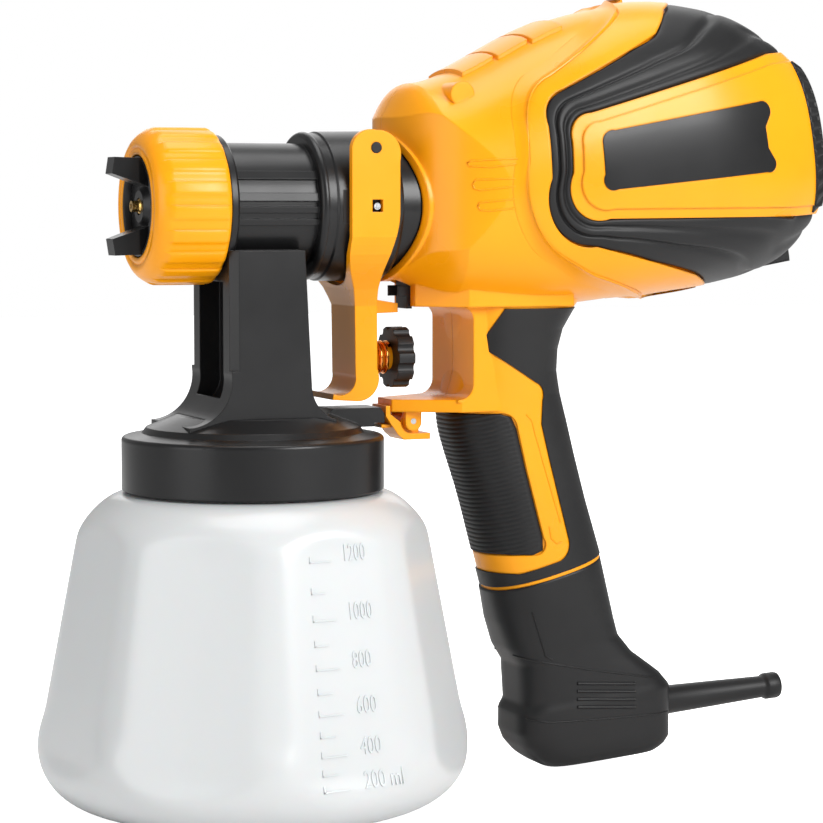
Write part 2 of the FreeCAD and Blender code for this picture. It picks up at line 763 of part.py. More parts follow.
def tongue_outline(y0, y1):
    """The yellow tongue between the arms of the band."""
    return plate(y0, y1, (245, 268.2), (184.5, 261.0), (108.5, 238.6), (102.4, 235.6, 101.0, 228.6),
                 (101.2, 218.0), (104.0, 204.2, 115.2, 202.2), (192.3, 202.9), (245, 205.6))


def tongue_top_outline(y0, y1):
    """The raised middle of the tongue, inside its sloping edge."""
    return plate(y0, y1, (245, 265.0), (184.0, 257.2), (111.0, 235.6), (105.8, 233.2, 104.4, 227.6),
                 (104.6, 218.6), (106.8, 207.8, 116.4, 205.6), (192.0, 206.2), (245, 209.0))


def field_outline():
    """The raised rear field whose rim goes round both side bands, from side to side."""
    return plate(-80, 80, (141, 290), (130, 274.5), (110, 260.3), (96.8, 251.5), (88.8, 245.0, 85.6, 236.0),
                 (85.4, 222.0), (88.6, 199.6, 101.0, 188.6), (113, 183.0), (137, 176.6), (175, 166),
                 (240, 150), (240, 300))


def side_half(side):
    """Everything on one side of the middle plane."""
    if side < 0:
        return block(-60, 260, -90, 0, 0, 320)
    return block(-60, 260, 0, 90, 0, 320)


def rear_cover_outline(offset, s0, s1):
    loops = []
    for s in (s0, s1):
        loops.append(rounded_loop(24.0 + offset, 22.5 + offset, 22.5 + offset, 3.2,
                                  lambda y, t, s=s: tilt(s, y, t - 0.5)))
    return Part.makeLoft(loops, True, True)


def tab_slot():
    """The slot in the neck, open below, where the trigger's tab presses the switch button."""
    return block(slot_front, switch_space[0], -slot_half_width, slot_half_width, neck_bottom - 2, slot_top)


def body_form(skin, field_skin, tongue_skin, cut_ring, badge_ring):
    """The body with its raised field and tongue, and the recesses for bands and badge plates."""
    form = skin.fuse(field_skin.common(field_outline()))
    for side in (-1, 1):
        form = form.fuse(tongue_skin.common(tongue_top_outline(*side_range(side))))
        form = form.cut(cut_ring.common(band_outline(*side_range(side))))
        form = form.cut(badge_ring.common(badge_outline(side)))
    return form


def foot_top(x):
    """Height of the slanted joint between the handle and the foot."""
    return foot_top_start[1] + (x - foot_top_start[0]) * foot_top_rise


def below_joint():
    return plate(-60, 60, (60, foot_top(60)), (170, foot_top(170)), (170, 40), (60, 40))


def handle_form():
    """The hollow handle with the shallow recesses for the two grips."""
    zones = [grip_zone(kind, -40, 40) for kind in ("front", "rear")]
    deep = handle_skin(-grip_depth)
    form = handle_skin(0).cut(zones).multiFuse([deep.common(zone) for zone in zones])
    hollow = handle_skin(-2.6).common(block(60, 150, -30, 30, 50, 132))
    return form.cut(hollow).cut(below_joint())


def side_range(side):
    return (-80, 0) if side < 0 else (0, 80)


def housing_whole(body, steps):
    """The casing before it is split into two shells."""
    whole = body.multiFuse(steps + neck() + latch_ears() + [handle_form()])
    lip = mouth_lip()
    whole = whole.cut(housing_core()).cut(mouth_cut()).fuse(lip)
    tools = [tab_slot()]
    tools.append(rod((40, 0, axis_height), (64.4, 0, axis_height), mouth_radius))
    tools.append(rod((64.0, 0, axis_height), (hollow_front + 2, 0, axis_height), throat_radius))
    tools.append(rear_cover_outline(0.15, 151.0, 162.0))
    tools.append(block(*switch_space))
    for tool in tools:
        whole = whole.cut(tool)
    return whole


def grip_zone(kind, y0, y1):
    if kind == "front":
        return plate(y0, y1, (50, 133.6), (85.2, 133.6), (90.4, 132.2, 92.6, 128.0), (96.3, 113.2),
                     (103.2, 88.6), (103.4, 84.0, 99.6, 82.4), (50, 81.6))
    return plate(y0, y1, (86.0, 170.6), (79.4, 160.0), (79.2, 157.6, 80.2, 156.2), (99.0, 144.4),
                 (102.0, 141.8, 102.2, 138.0), (101.9, 129.4), (105.3, 116.3), (113.2, 87.4),
                 (112.2, 82.2, 107.8, 79.4), (95.1, 75.6), (50, 76.0), (50, foot_top(50) + ring_line),
                 (150, foot_top(150) + ring_line), (150, 170.6))


def foot_floor(x):
    return (x - base_radius) * math.tan(math.radians(foot_slope))


def foot_shell():
    """The black foot, its sleeve up to the slanted joint and its cord inlet boss at the rear."""
    side = plate(-foot_half_width, foot_half_width, (88.0, 66.0), (94.2, 47.4), (98.4, 41.0), (99.2, 26.8),
                 (97.4, 23.6), (97.4, 16.4), (99.4, 11.6, 104.6, foot_floor(104.6) + 3.4),
                 (108.0, foot_floor(108.0)), (153.0, foot_floor(153.0)), (158.4, 12.6), (158.6, 31.4),
                 (154.6, 36.0), (143.0, 44.4), (137.6, 51.0, 136.0, 57.6), (135.4, 66.0))
    loops = []
    for z, x0, x1, half in ((70.0, 86.6, 137.0, 18.6), (50.0, 90.0, 142.0, 18.0), (30.0, 91.0, 164.0, 18.2),
                            (0.0, 90.0, 164.5, 17.4)):
        centre, depth = (x0 + x1) / 2, (x1 - x0) / 2
        loops.append(rounded_loop(half, depth, depth, 3.4, lambda y, t, z=z, c=centre: V(c + t, y, z)))
    rounded = Part.makeLoft(loops, True, False)
    sleeve = handle_skin(0).cut(handle_skin(-2.6)).common(below_joint())
    return side.common(rounded).fuse(sleeve)


def along_inlet(start, *steps):
    """An outline of distance and radius, turned about the cord inlet's axis."""
    solid = Part.Face(outline(start, *steps)).revolve(V(0, 0, 0), V(1, 0, 0), 360)
    solid.rotate(V(0, 0, 0), V(0, 1, 0), -inlet_slope)
    solid.translate(V(inlet_start[0], 0, inlet_start[1]))
    return solid


def strain_relief_boot():
    """A tapered sleeve with a flange inside the foot and a rim at its end."""
    boot = along_inlet((-2.0, inlet_radius), (-2.0, 8.4), (1.6, 8.4), (1.6, 6.2), (12.0, 6.0), (50.0, 4.6),
                       (52.6, 4.6), (53.4, 5.4), (58.4, 5.4), (59.4, 4.6), (59.4, inlet_radius))
    for i in range(5):
        d = 18.0 + 5.6 * i
        groove = along_inlet((d, 5.0), (d, 7.0), (d + 1.2, 7.0), (d + 1.2, 5.0))
        boot = boot.cut(groove)
    return boot


def cable_clamp():
    clamp = block(130.0, 140.0, -11.0, 11.0, clamp_height, clamp_height + 5.0)
    return clamp.cut(cord_way())


def cord_way():
    """The round way of the cord through the foot."""
    return along_inlet((-30, 0), (-30, inlet_radius), (1, inlet_radius), (1, 0))


def foot_cavity():
    inner = plate(-foot_half_width + 3.0, foot_half_width - 3.0, (104.0, 60.0), (104.0, foot_floor(104) + 9),
                  (154.0, foot_floor(154) + 4.0), (155.2, 32.0), (140.6, 42.0), (133.0, 56.0), (132.4, 60.0))
    return inner


def foot_louvres():
    """Four tapered grooves on each side of the foot."""
    grooves = []
    deep, out = foot_half_width - 0.8, foot_half_width + 3
    for y0, y1 in ((deep, out), (-out, -deep)):
        for i in range(4):
            z = 34.9 - 2.85 * i
            grooves.append(plate(y0, y1, (116.3, z), (141.7, z - 1.1), (141.7, z - 2.3)))
    return grooves


def foot_cover():
    body = foot_shell()
    tools = [foot_cavity(), along_inlet((-3.0, 0), (-3.0, 8.5), (1.7, 8.5), (1.7, 6.35), (12, 6.35), (12, 0))]
    tools.append(block(104.0, 132.0, -12.5, 12.5, 59.0, 68.0))
    tools.append(plate(-11, 11, (112, foot_floor(112) - 1), (150, foot_floor(150) - 1),
                       (150, foot_floor(150) + pad_depth), (112, foot_floor(112) + pad_depth)))
    body = body.cut(tools + foot_louvres())
    seat = block(129.0, 141.0, -14.0, 14.0, 10.0, clamp_height)
    return body.fuse(seat.cut(cord_way()))


def foot_pad():
    return plate(-11, 11, (112, foot_floor(112)), (150, foot_floor(150)), (150, foot_floor(150) + pad_depth),
                 (112, foot_floor(112) + pad_depth))


def on_motor_axis(start, *steps):
    """An outline of distance and radius, turned about the raised motor axis."""
    solid = Part.Face(outline(start, *steps)).revolve(V(0, 0, 0), V(1, 0, 0), 360)
    solid.rotate(V(0, 0, 0), V(0, 1, 0), -housing_pitch)
    solid.translate(V(housing_origin[0], 0, housing_origin[1]))
    return solid


def motor_can():
    inside = motor_radius - 2.4
    can = on_motor_axis((motor_front, 6.0), (motor_front, motor_radius), (motor_rear, motor_radius),
                        (motor_rear, 6.0), (motor_rear - 2, 6.0), (motor_rear - 2, inside),
                        (motor_front + 2, inside), (motor_front + 2, 6.0))
    for i in range(8):
        vent = block(motor_front + 14, motor_front + 36, -3.2, 3.2, 20, 30)
        vent.rotate(V(0, 0, 0), V(1, 0, 0), 45 * i)
        vent.rotate(V(0, 0, 0), V(0, 1, 0), -housing_pitch)
        vent.translate(V(housing_origin[0], 0, housing_origin[1]))
        can = can.cut(vent)
    return can


def motor_mount(s0, s1):
    """A rubber ring between the motor and the casing."""
    return on_motor_axis((s0, motor_radius), (s0, mount_radius), (s1, mount_radius), (s1, motor_radius))


def motor_bearing(s0, s1):
    bore = shaft_radius + running_gap
    return on_motor_axis((s0, bore), (s0, 6.0), (s1, 6.0), (s1, bore))


def rotor():
    shaft = on_motor_axis((66.0, 0), (66.0, shaft_radius), (136.0, shaft_radius), (136.0, 0))
    core = on_motor_axis((94.0, 0), (94.0, 15.0), (120.0, 15.0), (120.0, 0))
    body = core
    for i in range(12):
        slot = block(93, 121, -1.0, 1.0, 11.0, 16.0)
        slot.rotate(V(0, 0, 0), V(1, 0, 0), 30 * i)
        slot.rotate(V(0, 0, 0), V(0, 1, 0), -housing_pitch)
        slot.translate(V(housing_origin[0], 0, housing_origin[1]))
        body = body.cut(slot)
    commutator = on_motor_axis((86.6, 0), (86.6, 7.0), (92.0, 7.0), (92.0, 0))
    return joined(shaft, body, commutator)


def fan_impeller():
    """A radial blower wheel with nine curved blades, in front of the motor."""
    hub = on_motor_axis((67.0, shaft_radius), (67.0, 7.5), (71.0, 9.0), (76.0, 27.0), (78.0, 27.0),
                        (78.0, shaft_radius))
    blades = []
    for i in range(9):
        blade = block(68.0, 77.0, -0.7, 0.7, 11.0, 26.4)
        blade.rotate(V(0, 0, 18), V(1, 0, 0), 28)
        blade.rotate(V(0, 0, 0), V(1, 0, 0), 40 * i)
        blade.rotate(V(0, 0, 0), V(0, 1, 0), -housing_pitch)
        blade.translate(V(housing_origin[0], 0, housing_origin[1]))
        blades.append(blade)
    wheel = joined(hub, *blades)
    limit = on_motor_axis((66.0, 0), (66.0, 27.4), (78.0, 27.4), (78.0, 0))
    return wheel.common(limit)


def switch_button():
    """The black blade behind the trigger's tab, with two cheeks and a rod that slides into the switch."""
    half = slot_half_width - 0.2
    web = block(55.6, 57.6, -half, half, 170.6, slot_top - 0.3)
    cheeks = [block(52.4, 57.6, y0, y0 + 0.7, 174.9, 178.6) for y0 in (-half, half - 0.7)]
    slide = rod((57.0, 0, switch_rod_z), (79.0, 0, switch_rod_z), switch_rod_radius)
    return joined(web, slide, *cheeks)


def switch_body():
    body = block(*switch_space)
    return body.cut(rod((72, 0, switch_rod_z), (92.0, 0, switch_rod_z), switch_rod_radius + running_gap))


def latch_lever():
    """The sprung catch under the shelf: an upright tip, a slanted strip with a nib, a web and a thumb pad."""
    strip = plate(-6.5, 6.5, (47.1, 136.6), (48.8, 136.6), (48.8, 133.6), (58.0, 126.6), (64.0, 126.6),
                  (64.0, 124.4), (54.0, 124.4), (51.8, 126.2), (47.1, 133.0))
    for s in (-1, 1):
        strip = strip.cut(rod((latch_x, s * 4.6, latch_z), (latch_x, s * 8, latch_z), 4.3))
    hook = plate(-4.5, 4.5, (46.2, 128.7), (52.0, 128.7), (52.0, 129.9), (46.2, 129.9))
    pivot_ear = plate(-4.5, 4.5, (53.6, 126.0), (60.4, 126.0), (60.4, 131.0), (57.0, 133.6, 53.6, 131.0))
    lever = joined(strip, hook, pivot_ear)
    return lever.cut(rod((latch_x, -8, latch_z), (latch_x, 8, latch_z), 1.0 + running_gap))


def latch_pin():
    return rod((latch_x, -8.0, latch_z), (latch_x, 8.0, latch_z), 1.0)


def latch_ears():
    """Two yellow ears under the shelf that hold the latch pin."""
    ears = []
    for s in (-1, 1):
        y0, y1 = (5.0, 8.0) if s > 0 else (-8.0, -5.0)
        ear = plate(y0, y1, (54.0, 135.0), (54.0, 130.4), (57.0, 127.6, 60.0, 130.4), (60.0, 135.0))
        ears.append(ear.cut(rod((latch_x, y0 - 1, latch_z), (latch_x, y1 + 1, latch_z), 1.0)))
    return ears


def rear_cover():
    """The black filter cover: a rim and slats proud of the rear face."""
    base = rear_cover_outline(0, rear_end - 5.0, rear_end + 1.4)
    hollow = rear_cover_outline(-2.4, rear_end - 6.0, rear_end - 1.0)
    cover = base.cut(hollow)
    slots = []
    for i in range(8):
        t = -16.0 + 4.6 * i
        slot = block(rear_end - 2.0, rear_end + 3.0, -17.5, 17.5, t - 1.1, t + 1.1)
        slot.rotate(V(0, 0, 0), V(0, 1, 0), -housing_pitch)
        slot.translate(V(housing_origin[0], 0, housing_origin[1]))
        slots.append(slot)
    cover = cover.cut(slots)
    slats = []
    for i in range(9):
        t = -18.3 + 4.6 * i
        slat = block(rear_end + 1.3, rear_end + 3.6, -19.0, 19.0, t - 0.95, t + 0.95)
        slat.rotate(V(0, 0, 0), V(0, 1, 0), -housing_pitch)
        slat.translate(V(housing_origin[0], 0, housing_origin[1]))
        slats.append(slat)
    return joined(cover, *slats)


def air_filter():
    return rear_cover_outline(-2.7, rear_end - 4.6, rear_end - 1.3)


def badge_outline(side):
    y0, y1 = (-80, -20) if side < 0 else (20, 80)
    return plate(y0, y1, (111.4, 227.8), (112.4, 231.4, 116.0, 232.6), (174.4, 243.4),
                 (178.6, 242.0, 178.4, 238.0), (176.6, 234.6), (177.8, 227.0), (180.4, 223.6),
                 (181.0, 220.0, 177.6, 218.6), (117.0, 212.4), (112.8, 213.0, 112.2, 217.4))


def main():
    os.makedirs("parts", exist_ok=True)
    save("paint_container", paint_container())
    save("spray_head_body", spray_head_body())
    save("container_lid", container_lid())
    save("lid_gasket", lid_gasket())
    save("suction_tube", suction_tube())
    save("suction_strainer", suction_strainer())
    save("head_o_ring", head_o_ring())
    save("fluid_tube", fluid_tube())
    save("needle_packing", needle_packing())
    save("fluid_nozzle", fluid_nozzle())
    save("nozzle_disc", nozzle_disc())
    save("nozzle_gasket", nozzle_gasket())
    save("nozzle_nut", nozzle_nut())
    save("air_cap", air_cap())
    save("trigger", trigger())
    save("adjuster_spring", adjuster_spring())
    save("flow_knob", flow_knob())
    save("trigger_pivot_pins", trigger_pivot_pins())
    save("needle", needle())
    save("needle_cross_pin", needle_cross_pin())
    save("needle_spring", needle_spring())
    save("spring_cap", spring_cap())

    skin = housing_skin(0)
    deep = housing_skin(-band_depth)
    field_skin = housing_skin(field_proud)
    badge_skin = housing_skin(badge_proud)
    badge_ring = badge_skin.cut(field_skin)
    form = body_form(skin, field_skin, housing_skin(tongue_proud), badge_skin.cut(deep), badge_ring)
    rear_hole = rear_cover_outline(0.15, 151.0, 162.0)
    casing = housing_whole(form, top_steps(field_skin))
    save("housing_left", casing.common(side_half(-1)))
    save("housing_right", casing.common(side_half(1)))
    handle = handle_skin(0)
    band_ring = housing_skin(band_proud).cut(deep)
    for name, side in (("left", -1), ("right", 1)):
        band = band_ring.common(band_outline(*side_range(side))).cut(rear_hole)
        save("side_band_" + name, band.cut(handle))
        save("badge_plate_" + name, badge_ring.common(badge_outline(side)))
    grip_skin = handle_skin(grip_proud)
    grip_floor = handle_skin(-grip_depth)
    for kind in ("front", "rear"):
        piece = grip_skin.common(grip_zone(kind, -40, 40)).cut([grip_floor, form] + neck())
        save(kind + "_grip", piece)
    save("motor_can", motor_can())
    save("front_motor_mount", motor_mount(*front_mount))
    save("rear_motor_mount", motor_mount(*rear_mount))
    save("front_bearing", motor_bearing(motor_front - 1.0, motor_front + 4.0))
    save("rear_bearing", motor_bearing(motor_rear - 4.0, motor_rear + 1.0))
    save("rotor", rotor())
    save("fan_impeller", fan_impeller())
    save("switch_body", switch_body())
    save("switch_button", switch_button())
    save("latch_lever", latch_lever())
    save("latch_pin", latch_pin())
    save("foot_cover", foot_cover())
    save("foot_pad", foot_pad())
    save("strain_relief_boot", strain_relief_boot())
    save("cable_clamp", cable_clamp())
    save("rear_cover", rear_cover())
    save("air_filter", air_filter())


main()
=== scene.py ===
import math
import bmesh
import bpy
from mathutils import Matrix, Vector
from mathutils.bvhtree import BVHTree


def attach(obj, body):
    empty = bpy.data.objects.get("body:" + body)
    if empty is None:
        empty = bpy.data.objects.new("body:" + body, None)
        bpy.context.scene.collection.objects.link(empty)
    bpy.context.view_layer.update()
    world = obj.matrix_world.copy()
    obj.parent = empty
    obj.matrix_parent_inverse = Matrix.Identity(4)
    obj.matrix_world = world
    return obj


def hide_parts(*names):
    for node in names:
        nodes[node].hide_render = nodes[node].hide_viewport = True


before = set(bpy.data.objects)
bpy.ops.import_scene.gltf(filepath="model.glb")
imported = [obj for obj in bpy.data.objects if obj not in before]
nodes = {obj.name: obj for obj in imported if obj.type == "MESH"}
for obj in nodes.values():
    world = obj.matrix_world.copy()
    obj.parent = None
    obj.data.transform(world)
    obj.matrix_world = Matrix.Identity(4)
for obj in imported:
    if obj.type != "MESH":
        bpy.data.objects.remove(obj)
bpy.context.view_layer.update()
scene = bpy.context.scene
print("frame loaded")


# materials

fineDetail = 2.0  # octaves of the fine grains


def newMaterial(name):
    material = bpy.data.materials.new(name)
    material.use_nodes = True
    tree = material.node_tree
    shader = tree.nodes["Principled BSDF"]
    return material, tree, shader


def objectNoise(tree, scale, detail=3.0, rough=0.55):  # noise on object coordinates, in cells per metre
    coords = tree.nodes.new("ShaderNodeTexCoord")
    noise = tree.nodes.new("ShaderNodeTexNoise")
    noise.inputs["Scale"].default_value = scale
    noise.inputs["Detail"].default_value = detail
    noise.inputs["Roughness"].default_value = rough
    tree.links.new(coords.outputs["Object"], noise.inputs["Vector"])
    return noise


def spread(tree, source, low, high, fromLow=0.35, fromHigh=0.65):  # maps a noise value to a range
    ramp = tree.nodes.new("ShaderNodeMapRange")
    ramp.inputs["From Min"].default_value = fromLow
    ramp.inputs["From Max"].default_value = fromHigh
    ramp.inputs["To Min"].default_value = low
    ramp.inputs["To Max"].default_value = high
    tree.links.new(source, ramp.inputs["Value"])
    return ramp.outputs["Result"]


def colourBlend(tree, factor, first, second):
    mix = tree.nodes.new("ShaderNodeMix")
    mix.data_type = "RGBA"
    mix.inputs["A"].default_value = first
    mix.inputs["B"].default_value = second
    tree.links.new(factor, mix.inputs["Factor"])
    return mix.outputs["Result"]


def addBump(tree, shader, height, strength, distance):
    bump = tree.nodes.new("ShaderNodeBump")
    bump.inputs["Strength"].default_value = strength
    bump.inputs["Distance"].default_value = distance
    tree.links.new(height, bump.inputs["Height"])
    tree.links.new(bump.outputs["Normal"], shader.inputs["Normal"])
    return bump


# colours and roughness from and to, coat, shine, cells of grain per metre, bump, and soft edge in metres
plasticLooks = {
    "amberShell": {"dark": (0.91, 0.335, 0.0015, 1), "light": (0.95, 0.36, 0.002, 1), "rough": (0.27, 0.35),
                   "coat": 0.05, "shine": 0.3, "grain": 2600, "bump": 0.04, "edge": 0.0011},
    "amberPlastic": {"dark": (0.91, 0.335, 0.0015, 1), "light": (0.95, 0.36, 0.002, 1), "rough": (0.27, 0.35),
                     "coat": 0.05, "shine": 0.3, "grain": 2600, "bump": 0.04, "edge": 0.0006},
    "blackGloss": {"dark": (0.006, 0.006, 0.0065, 1), "light": (0.009, 0.009, 0.0095, 1),
                   "rough": (0.28, 0.36), "coat": 0.05, "shine": 0.34, "grain": 2200, "bump": 0.05,
                   "edge": 0.0005},
    "blackSatin": {"dark": (0.006, 0.006, 0.0065, 1), "light": (0.010, 0.010, 0.0105, 1),
                   "rough": (0.38, 0.46), "coat": 0.0, "shine": 0.34, "grain": 4200, "bump": 0.12,
                   "edge": 0.0006},
    "softBlack": {"dark": (0.006, 0.006, 0.0065, 1), "light": (0.010, 0.010, 0.0105, 1),
                  "rough": (0.42, 0.50), "coat": 0.0, "shine": 0.34, "grain": 5200, "bump": 0.16,
                  "edge": 0.0006},
    "greyPlastic": {"dark": (0.10, 0.105, 0.11, 1), "light": (0.14, 0.145, 0.15, 1), "rough": (0.42, 0.55),
                    "coat": 0.0, "shine": 0.5, "grain": 3000, "bump": 0.12, "edge": 0.0003},
    "sealRubber": {"dark": (0.012, 0.012, 0.013, 1), "light": (0.02, 0.02, 0.021, 1), "rough": (0.6, 0.75),
                   "coat": 0.0, "shine": 0.5, "grain": 3500, "bump": 0.2, "edge": 0.0003},
}
plasticBase = {"blotches": 24.0, "coatRough": 0.12, "depth": 0.0002, "edgeSamples": 4}  # on every plastic


def plasticMaterial(name):
    look = plasticLooks[name]
    material, tree, shader = newMaterial(name)
    wide = objectNoise(tree, plasticBase["blotches"])
    fine = objectNoise(tree, look["grain"], fineDetail)
    colour = colourBlend(tree, spread(tree, wide.outputs["Fac"], 0.0, 1.0), look["dark"], look["light"])
    tree.links.new(colour, shader.inputs["Base Color"])
    tree.links.new(spread(tree, wide.outputs["Fac"], *look["rough"]), shader.inputs["Roughness"])
    shader.inputs["Coat Weight"].default_value = look["coat"]
    shader.inputs["Coat Roughness"].default_value = plasticBase["coatRough"]
    shader.inputs["Specular IOR Level"].default_value = look["shine"]
    bump = addBump(tree, shader, fine.outputs["Fac"], look["bump"], plasticBase["depth"])
    soft = tree.nodes.new("ShaderNodeBevel")
    soft.samples = plasticBase["edgeSamples"]
    soft.inputs["Radius"].default_value = look["edge"]
    tree.links.new(soft.outputs["Normal"], bump.inputs["Normal"])
    return material


metalLooks = {
    "turnedBrass": {"colour": (0.78, 0.50, 0.16, 1), "worn": (0.60, 0.36, 0.10, 1), "rough": (0.20, 0.34)},
    "machinedSteel": {"colour": (0.56, 0.57, 0.58, 1), "worn": (0.42, 0.43, 0.44, 1), "rough": (0.24, 0.38)},
    "copperWire": {"colour": (0.90, 0.36, 0.08, 1), "worn": (0.62, 0.22, 0.05, 1), "rough": (0.16, 0.28)},
    "darkCore": {"colour": (0.22, 0.20, 0.19, 1), "worn": (0.12, 0.11, 0.10, 1), "rough": (0.4, 0.6)},
}
metalBase = {"blotches": 60.0, "grain": 1800.0, "bump": 0.08, "depth": 0.0001}  # on every metal


def metalMaterial(name):
    look = metalLooks[name]
    material, tree, shader = newMaterial(name)
    shader.inputs["Metallic"].default_value = 1.0
    wide = objectNoise(tree, metalBase["blotches"])
    fine = objectNoise(tree, metalBase["grain"], fineDetail)
    colour = colourBlend(tree, spread(tree, wide.outputs["Fac"], 0.0, 1.0), look["colour"], look["worn"])
    tree.links.new(colour, shader.inputs["Base Color"])
    tree.links.new(spread(tree, fine.outputs["Fac"], *look["rough"]), shader.inputs["Roughness"])
    addBump(tree, shader, fine.outputs["Fac"], metalBase["bump"], metalBase["depth"])
    return material


milkyLook = {
    "low": (0.585, 0.59, 0.595, 1), "high": (0.595, 0.60, 0.605, 1), "rough": (0.30, 0.33), "blotches": 14.0,
    "grain": 1600.0, "bump": 0.05, "depth": 0.0002, "scatter": 0.12, "scatterReach": 0.01, "coat": 0.15,
}


def milkyMaterial():  # frosted plastic of the container and the suction tube
    look = milkyLook
    material, tree, shader = newMaterial("milkyPlastic")
    wide = objectNoise(tree, look["blotches"])
    fine = objectNoise(tree, look["grain"], fineDetail)
    colour = colourBlend(tree, spread(tree, wide.outputs["Fac"], 0.0, 1.0), look["low"], look["high"])
    tree.links.new(colour, shader.inputs["Base Color"])
    tree.links.new(spread(tree, wide.outputs["Fac"], *look["rough"]), shader.inputs["Roughness"])
    shader.inputs["Subsurface Weight"].default_value = look["scatter"]
    shader.inputs["Subsurface Scale"].default_value = look["scatterReach"]
    shader.inputs["Coat Weight"].default_value = look["coat"]
    addBump(tree, shader, fine.outputs["Fac"], look["bump"], look["depth"])
    return material


# the cells' hollows get a darker colour than their walls: painted shade in the pores
foamLook = {"cells": 1400.0, "hollow": (0.01, 0.01, 0.01, 1), "wall": (0.06, 0.06, 0.065, 1), "rough": 0.9,
            "bump": 0.8, "depth": 0.0006}


def foamMaterial():
    look = foamLook
    material, tree, shader = newMaterial("filterFoam")
    cells = tree.nodes.new("ShaderNodeTexVoronoi")
    coords = tree.nodes.new("ShaderNodeTexCoord")
    cells.inputs["Scale"].default_value = look["cells"]
    tree.links.new(coords.outputs["Object"], cells.inputs["Vector"])
    # painted shade: the colour darkens towards each cell's centre, where the bump sinks the pore
    colour = colourBlend(tree, cells.outputs["Distance"], look["hollow"], look["wall"])
    tree.links.new(colour, shader.inputs["Base Color"])
    shader.inputs["Roughness"].default_value = look["rough"]
    addBump(tree, shader, cells.outputs["Distance"], look["bump"], look["depth"])
    return material


materials = {name: plasticMaterial(name) for name in plasticLooks}
materials.update({name: metalMaterial(name) for name in metalLooks})
materials["milkyPlastic"] = milkyMaterial()
materials["filterFoam"] = foamMaterial()

nodeFinish = {
    "amberShell": ["housing_left", "housing_right"],
    "amberPlastic": ["trigger", "nozzle_nut", "latch_lever"],
    "blackGloss": ["spray_head_body", "container_lid", "trigger_pivot_pins", "air_cap", "badge_plate_left",
                   "badge_plate_right", "spring_cap"],
    "blackSatin": ["foot_cover", "flow_knob", "switch_body", "switch_button", "cable_clamp", "rear_cover",
                   "suction_strainer"],
    "softBlack": ["side_band_left", "side_band_right", "front_grip", "rear_grip", "strain_relief_boot"],
    "greyPlastic": ["nozzle_disc", "fan_impeller"],
    "sealRubber": ["lid_gasket", "head_o_ring", "needle_packing", "nozzle_gasket", "front_motor_mount",
                   "rear_motor_mount", "foot_pad"],
    "turnedBrass": ["fluid_nozzle", "fluid_tube"],
    "machinedSteel": ["needle", "needle_cross_pin", "needle_spring", "motor_can", "front_bearing",
                      "rear_bearing", "latch_pin"],
    "copperWire": ["adjuster_spring"],
    "darkCore": ["rotor"],
    "milkyPlastic": ["paint_container", "suction_tube"],
    "filterFoam": ["air_filter"],
}
for finish, names in nodeFinish.items():
    for name in names:
        mesh = nodes[name].data
        mesh.materials.clear()
        mesh.materials.append(materials[finish])
print("materials done")


# building helpers

sides = (("left", -1), ("right", 1))  # name and direction along Y
barrelHeight = 0.2065


def newPiece(name, bm, finish, body, replaced=(), smooth=True):
    mesh = bpy.data.meshes.new(name)
    bm.to_mesh(mesh)
    bm.free()
    mesh.materials.append(materials[finish])
    if smooth:
        mesh.polygons.foreach_set("use_smooth", [True] * len(mesh.polygons))
    piece = bpy.data.objects.new(name, mesh)
    scene.collection.objects.link(piece)
    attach(piece, body)
    if replaced:
        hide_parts(*replaced)
    return piece


def gridMesh(columns, rows, place):  # a grid whose corners are laid by column and row
    bm = bmesh.new()
    bmesh.ops.create_grid(bm, x_segments=columns, y_segments=rows, size=0.5)
    for vert in bm.verts:
        vert.co = place(round((vert.co.x + 0.5) * columns), round((vert.co.y + 0.5) * rows))
    return bm


def closeUp(bm, gap=1e-6):  # joins corners nearer than the gap and turns the faces outwards
    bmesh.ops.remove_doubles(bm, verts=bm.verts[:], dist=gap)
    bmesh.ops.recalc_face_normals(bm, faces=bm.faces[:])
    return bm


def copyInto(bm, part):
    mesh = bpy.data.meshes.new("part")
    part.to_mesh(mesh)
    part.free()
    bm.from_mesh(mesh)
    bpy.data.meshes.remove(mesh)


def surfaceOf(*names):  # the solids of these nodes, for ray casts
    bm = bmesh.new()
    for name in names:
        bm.from_mesh(nodes[name].data)
    surface = BVHTree.FromBMesh(bm)
    bm.free()
    return surface


def sideHit(surface, x, z, side, reach=0.12):  # the surface's outermost point on one side
    return surface.ray_cast(Vector((x, side * reach, z)), Vector((0, -side, 0)), reach)[0]


def arcPoints(start, middle, end, count):  # points on the arc through three points, without the first
    ax, az = middle[0] - start[0], middle[1] - start[1]
    bx, bz = end[0] - start[0], end[1] - start[1]
    cross = 2 * (ax * bz - az * bx)
    a2, b2 = ax * ax + az * az, bx * bx + bz * bz
    ux, uz = (bz * a2 - az * b2) / cross, (ax * b2 - bx * a2) / cross
    first = math.atan2(-uz, -ux)
    turn = (math.atan2(bz - uz, bx - ux) - first) % math.tau
    if (math.atan2(az - uz, ax - ux) - first) % math.tau > turn:
        turn -= math.tau
    reach = math.hypot(ux, uz)
    angles = [first + turn * i / count for i in range(1, count + 1)]
    return [(start[0] + ux + reach * math.cos(a), start[1] + uz + reach * math.sin(a)) for a in angles]


def traced(steps, counts):  # lines (2 numbers) and arcs through a middle point (4), millimetres to metres
    points = [steps[0]]
    for step, count in zip(steps[1:], counts):
        here = points[-1]
        if len(step) == 4:
            points += arcPoints(here, step[:2], step[2:], count)
        else:
            points += [(here[0] + (step[0] - here[0]) * i / count, here[1] + (step[1] - here[1]) * i / count)
                       for i in range(1, count + 1)]
    return [(x / 1000, z / 1000) for x, z in points]


def signedPower(value, power):
    return math.copysign(abs(value) ** power, value)


def addModifier(piece, kind, **values):
    modifier = piece.modifiers.new(kind.title(), kind)
    for key, value in values.items():
        setattr(modifier, key, value)
    return modifier


# paint container

